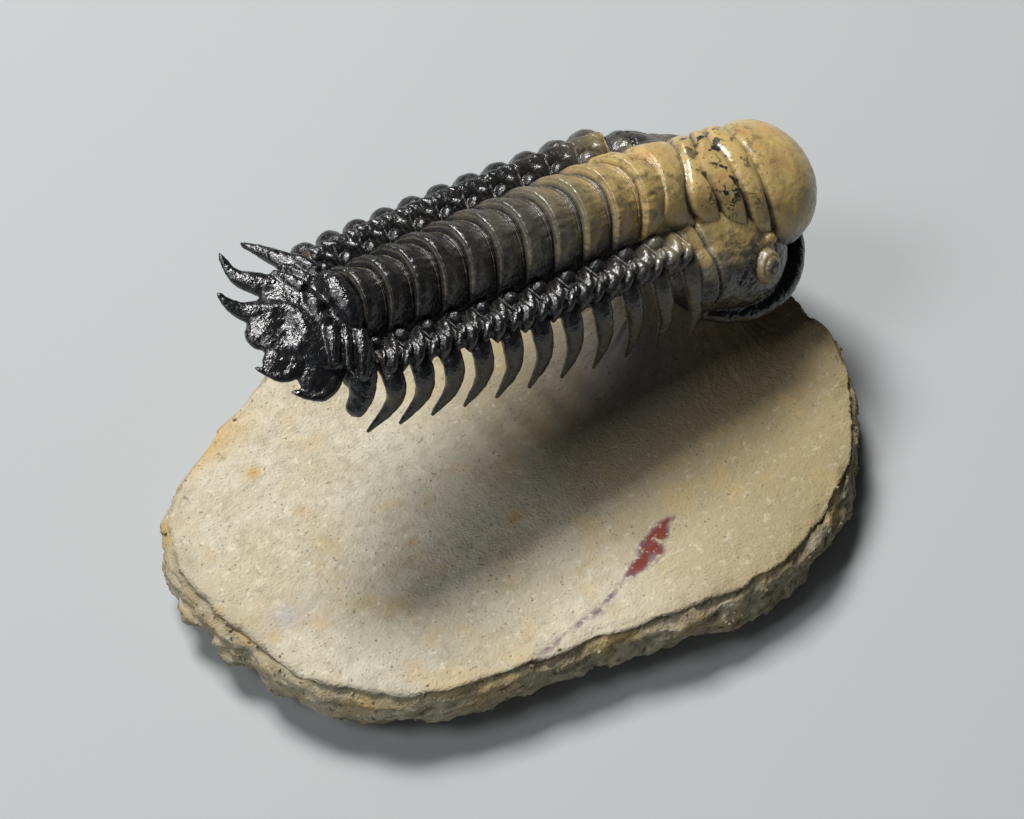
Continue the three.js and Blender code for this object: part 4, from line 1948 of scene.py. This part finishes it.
        jitter = 0.70 * self.grain.layers(points, 1.5, 4)
        width = from_table(along, self.stain_widths)
        top_only = 1 - kind
        rust = top_only * smooth(0.0, 0.5, width * 0.72 + jitter - gap) * (1 - smooth(2.2, 2.9, along))
        plum = top_only * smooth(0.0, 0.6, width + jitter - gap)
        # Painted shade: the top darkens towards the head end and round the pedestal, where the fossil's
        # shadow falls; it is carried in the broken-stone mask.
        shade = np.maximum(0.98 * smooth(-14, 28, x), 0.95 * bell(away, 6.0, 9.0)) * (1 - kind)
        broken = np.clip(rim * (0.50 + 0.5 * ledge) + 0.35 * lip + shade, 0, 1)
        crumbly = np.clip(rim * (0.75 + 0.3 * ledge) + 0.35 * lip, 0, 1)
        return moved, {"ochre": ochre, "cool": cool, "rust": rust, "plum": plum, "broken": broken,
                       "crumbly": crumbly}


@dataclass
class Crumbs:
    """Loose-looking grains that stand out of the slab's broken rim."""

    slab: bpy.types.Object
    size: float = 0.26
    density: float = 300000.0
    seed: int = 5
    flattest: tuple = (0.5, 0.4, 0.35)
    fullest: tuple = (1.5, 1.2, 0.9)
    margin: float = 0.02

    def build(self, finish: bpy.types.Material) -> bpy.types.Object:
        """Scatters the grains over the rim.

        Args:
            finish: the stone's material.

        Returns:
            The piece.
        """
        number = "NodeSocketFloat"
        tree = ShapeTree("rim_grains", {"Grain size": number, "Grains to the square metre": number,
                                        "Seed": "NodeSocketInt", "Finish": "NodeSocketMaterial"})
        broken = tree.add("GeometryNodeInputNamedAttribute", {"Name": "crumbly"}, data_type="FLOAT")
        weight = tree.add("ShaderNodeMath", operation="MULTIPLY")
        scatter = tree.add("GeometryNodeDistributePointsOnFaces")
        ball = tree.add("GeometryNodeMeshIcoSphere", {"Subdivisions": 1})
        place = tree.add("GeometryNodeInstanceOnPoints")
        spin = tree.add("FunctionNodeRandomValue", {1: (6.28, 6.28, 6.28)}, data_type="FLOAT_VECTOR")
        vary = tree.add("FunctionNodeRandomValue", {0: self.flattest, 1: self.fullest},
                        data_type="FLOAT_VECTOR")
        tree.link(tree.given["Geometry"], scatter.inputs["Mesh"])
        tree.link(broken.outputs["Attribute"], weight.inputs[0])
        tree.link(tree.given["Grains to the square metre"], weight.inputs[1])
        tree.link(weight.outputs[0], scatter.inputs["Density"])
        tree.link(tree.given["Seed"], scatter.inputs["Seed"])
        tree.link(tree.given["Grain size"], ball.inputs["Radius"])
        tree.link(scatter.outputs["Points"], place.inputs["Points"])
        tree.link(ball.outputs["Mesh"], place.inputs["Instance"])
        tree.link(spin.outputs[0], place.inputs["Rotation"])
        tree.link(vary.outputs[0], place.inputs["Scale"])
        tree.end(place.outputs["Instances"])
        holder = bpy.data.objects.new("rim_source", self.slab.data.copy())
        mesh = tree.run(holder, {"Grain size": self.size * MM, "Grains to the square metre": self.density,
                                 "Seed": self.seed, "Finish": finish})
        low, high = (np.array(corner) / MM for corner in CAD_BOX)
        places = np.clip(vertices(mesh), low + self.margin, high - self.margin)
        set_vertices(mesh, places)
        tone = Grain(3).at(places, 0.9)
        blank = np.zeros(len(places))
        paint(mesh, broken=0.80 + 0.30 * tone, ochre=blank + 0.15 * (tone > 0.4), cool=blank,
              rust=blank, plum=blank)
        return add_object("rim_grains", mesh)


@dataclass(frozen=True)
class Studio:
    """Camera at the photo's angle, a pale floor and soft light."""

    pose: Pose
    azimuth: float = -35.53
    elevation: float = 52.0
    focal_pixels: float = 2000.0
    from_head: tuple = (-100.874, -116.758, 158.038)
    sensor: float = 36.0
    floor_half: float = 3.0
    floor_colour: tuple = (0.375, 0.395, 0.40)
    floor_grain: Pattern = Pattern(900.0, 3.0)
    lamp_distance: float = 0.9
    lamp_aim: float = 0.02
    room_colour: tuple = (0.80, 0.87, 0.95, 1.0)
    room_strength: float = 0.02

    def camera(self) -> None:
        """Places the camera."""
        data = bpy.data.cameras.new("camera")
        data.sensor_width = self.sensor
        data.lens = self.focal_pixels * self.sensor / PHOTO_WIDTH
        data.clip_start, data.clip_end = 0.01, 10.0
        camera = bpy.data.objects.new("camera", data)
        bpy.context.scene.collection.objects.link(camera)
        camera.location = (self.pose.place() + np.array(self.from_head)) * MM
        camera.rotation_euler = (math.radians(90 - self.elevation), 0, math.radians(self.azimuth))
        bpy.context.scene.camera = camera

    def floor(self) -> None:
        """Lays a pale floor."""
        size = self.floor_half
        corners = np.array([(-size, -size, 0), (size, -size, 0), (size, size, 0), (-size, size, 0)]) / MM
        plate = add_object("floor", raw_mesh(corners, np.array([[0, 1, 2, 3]])))
        tree = FinishTree("floor_paper")
        fine = tree.noise(tree.object_place(), self.floor_grain)
        paper = tree.finish(self.floor_colour, 0.85, tree.bump(fine, 0.05, 0.0002), 0.2)
        plate.data.materials.append(paper)

    def lamp(self, name: str, azimuth: float, elevation: float, size: float, power: float,
             colour: tuple) -> None:
        """Hangs one soft panel that faces the fossil.

        Args:
            name: name of the lamp.
            azimuth: where it hangs, 0 towards -Y and 90 towards +X.
            elevation: its height above the horizon.
            size: side of the panel in metres.
            power: its strength in watts.
            colour: its colour.
        """
        a, e = math.radians(azimuth), math.radians(elevation)
        back = np.array([math.sin(a) * math.cos(e), -math.cos(a) * math.cos(e), math.sin(e)])
        light = bpy.data.lights.new(name, "AREA")
        light.shape = "SQUARE"
        light.size = size
        light.energy = power
        light.color = colour
        lamp = bpy.data.objects.new(name, light)
        bpy.context.scene.collection.objects.link(lamp)
        lamp.location = back * self.lamp_distance + np.array([0, 0, self.lamp_aim])
        lamp.rotation_euler = (math.pi / 2 - e, 0, a)

    def build(self) -> None:
        """Sets up the whole studio."""
        self.camera()
        self.floor()
        self.lamp("key", self.azimuth - 142.0, 60.0, 0.31, 11.6, (1.0, 0.985, 0.965))
        self.lamp("left", self.azimuth - 66.0, 50.0, 0.30, 2.7, (0.97, 0.985, 1.0))
        self.lamp("front_fill", self.azimuth - 25.0, 38.0, 0.6, 0.4, (0.86, 0.92, 1.0))
        world = bpy.data.worlds.new("room")
        world.use_nodes = True
        light = world.node_tree.nodes["Background"].inputs
        light[0].default_value = self.room_colour
        light[1].default_value = self.room_strength
        bpy.context.scene.world = world
        bpy.context.scene.view_settings.view_transform = "Standard"


def main() -> None:
    """Builds every piece in order, dresses it and sets up the studio."""
    logging.basicConfig(level=logging.INFO, format="%(name)s: %(message)s")
    pose = Pose()
    dresser = Dresser({finish.slot: finish.material() for finish in (ShellFinish(), StoneFinish())})
    Studio(pose).build()
    thorax = Thorax(pose)
    fossil = thorax.build()
    fossil += SpineRows(pose, thorax).build(dresser.materials[Slot.SHELL])
    fossil.append(TailShield(pose, thorax).build())
    fossil.append(Glabella(pose).build())
    fossil += HeadShield(pose).build()
    fossil.append(Belly(pose, thorax).build())
    for piece in fossil:
        dresser.dress(piece, Node.FOSSIL, Slot.SHELL)
    slab = Slab().build()
    dresser.dress(slab, Node.SLAB, Slot.STONE)
    grains = Crumbs(slab).build(dresser.materials[Slot.STONE])
    dresser.dress(grains, Node.SLAB, Slot.STONE)


if __name__ == "__main__":
    main()
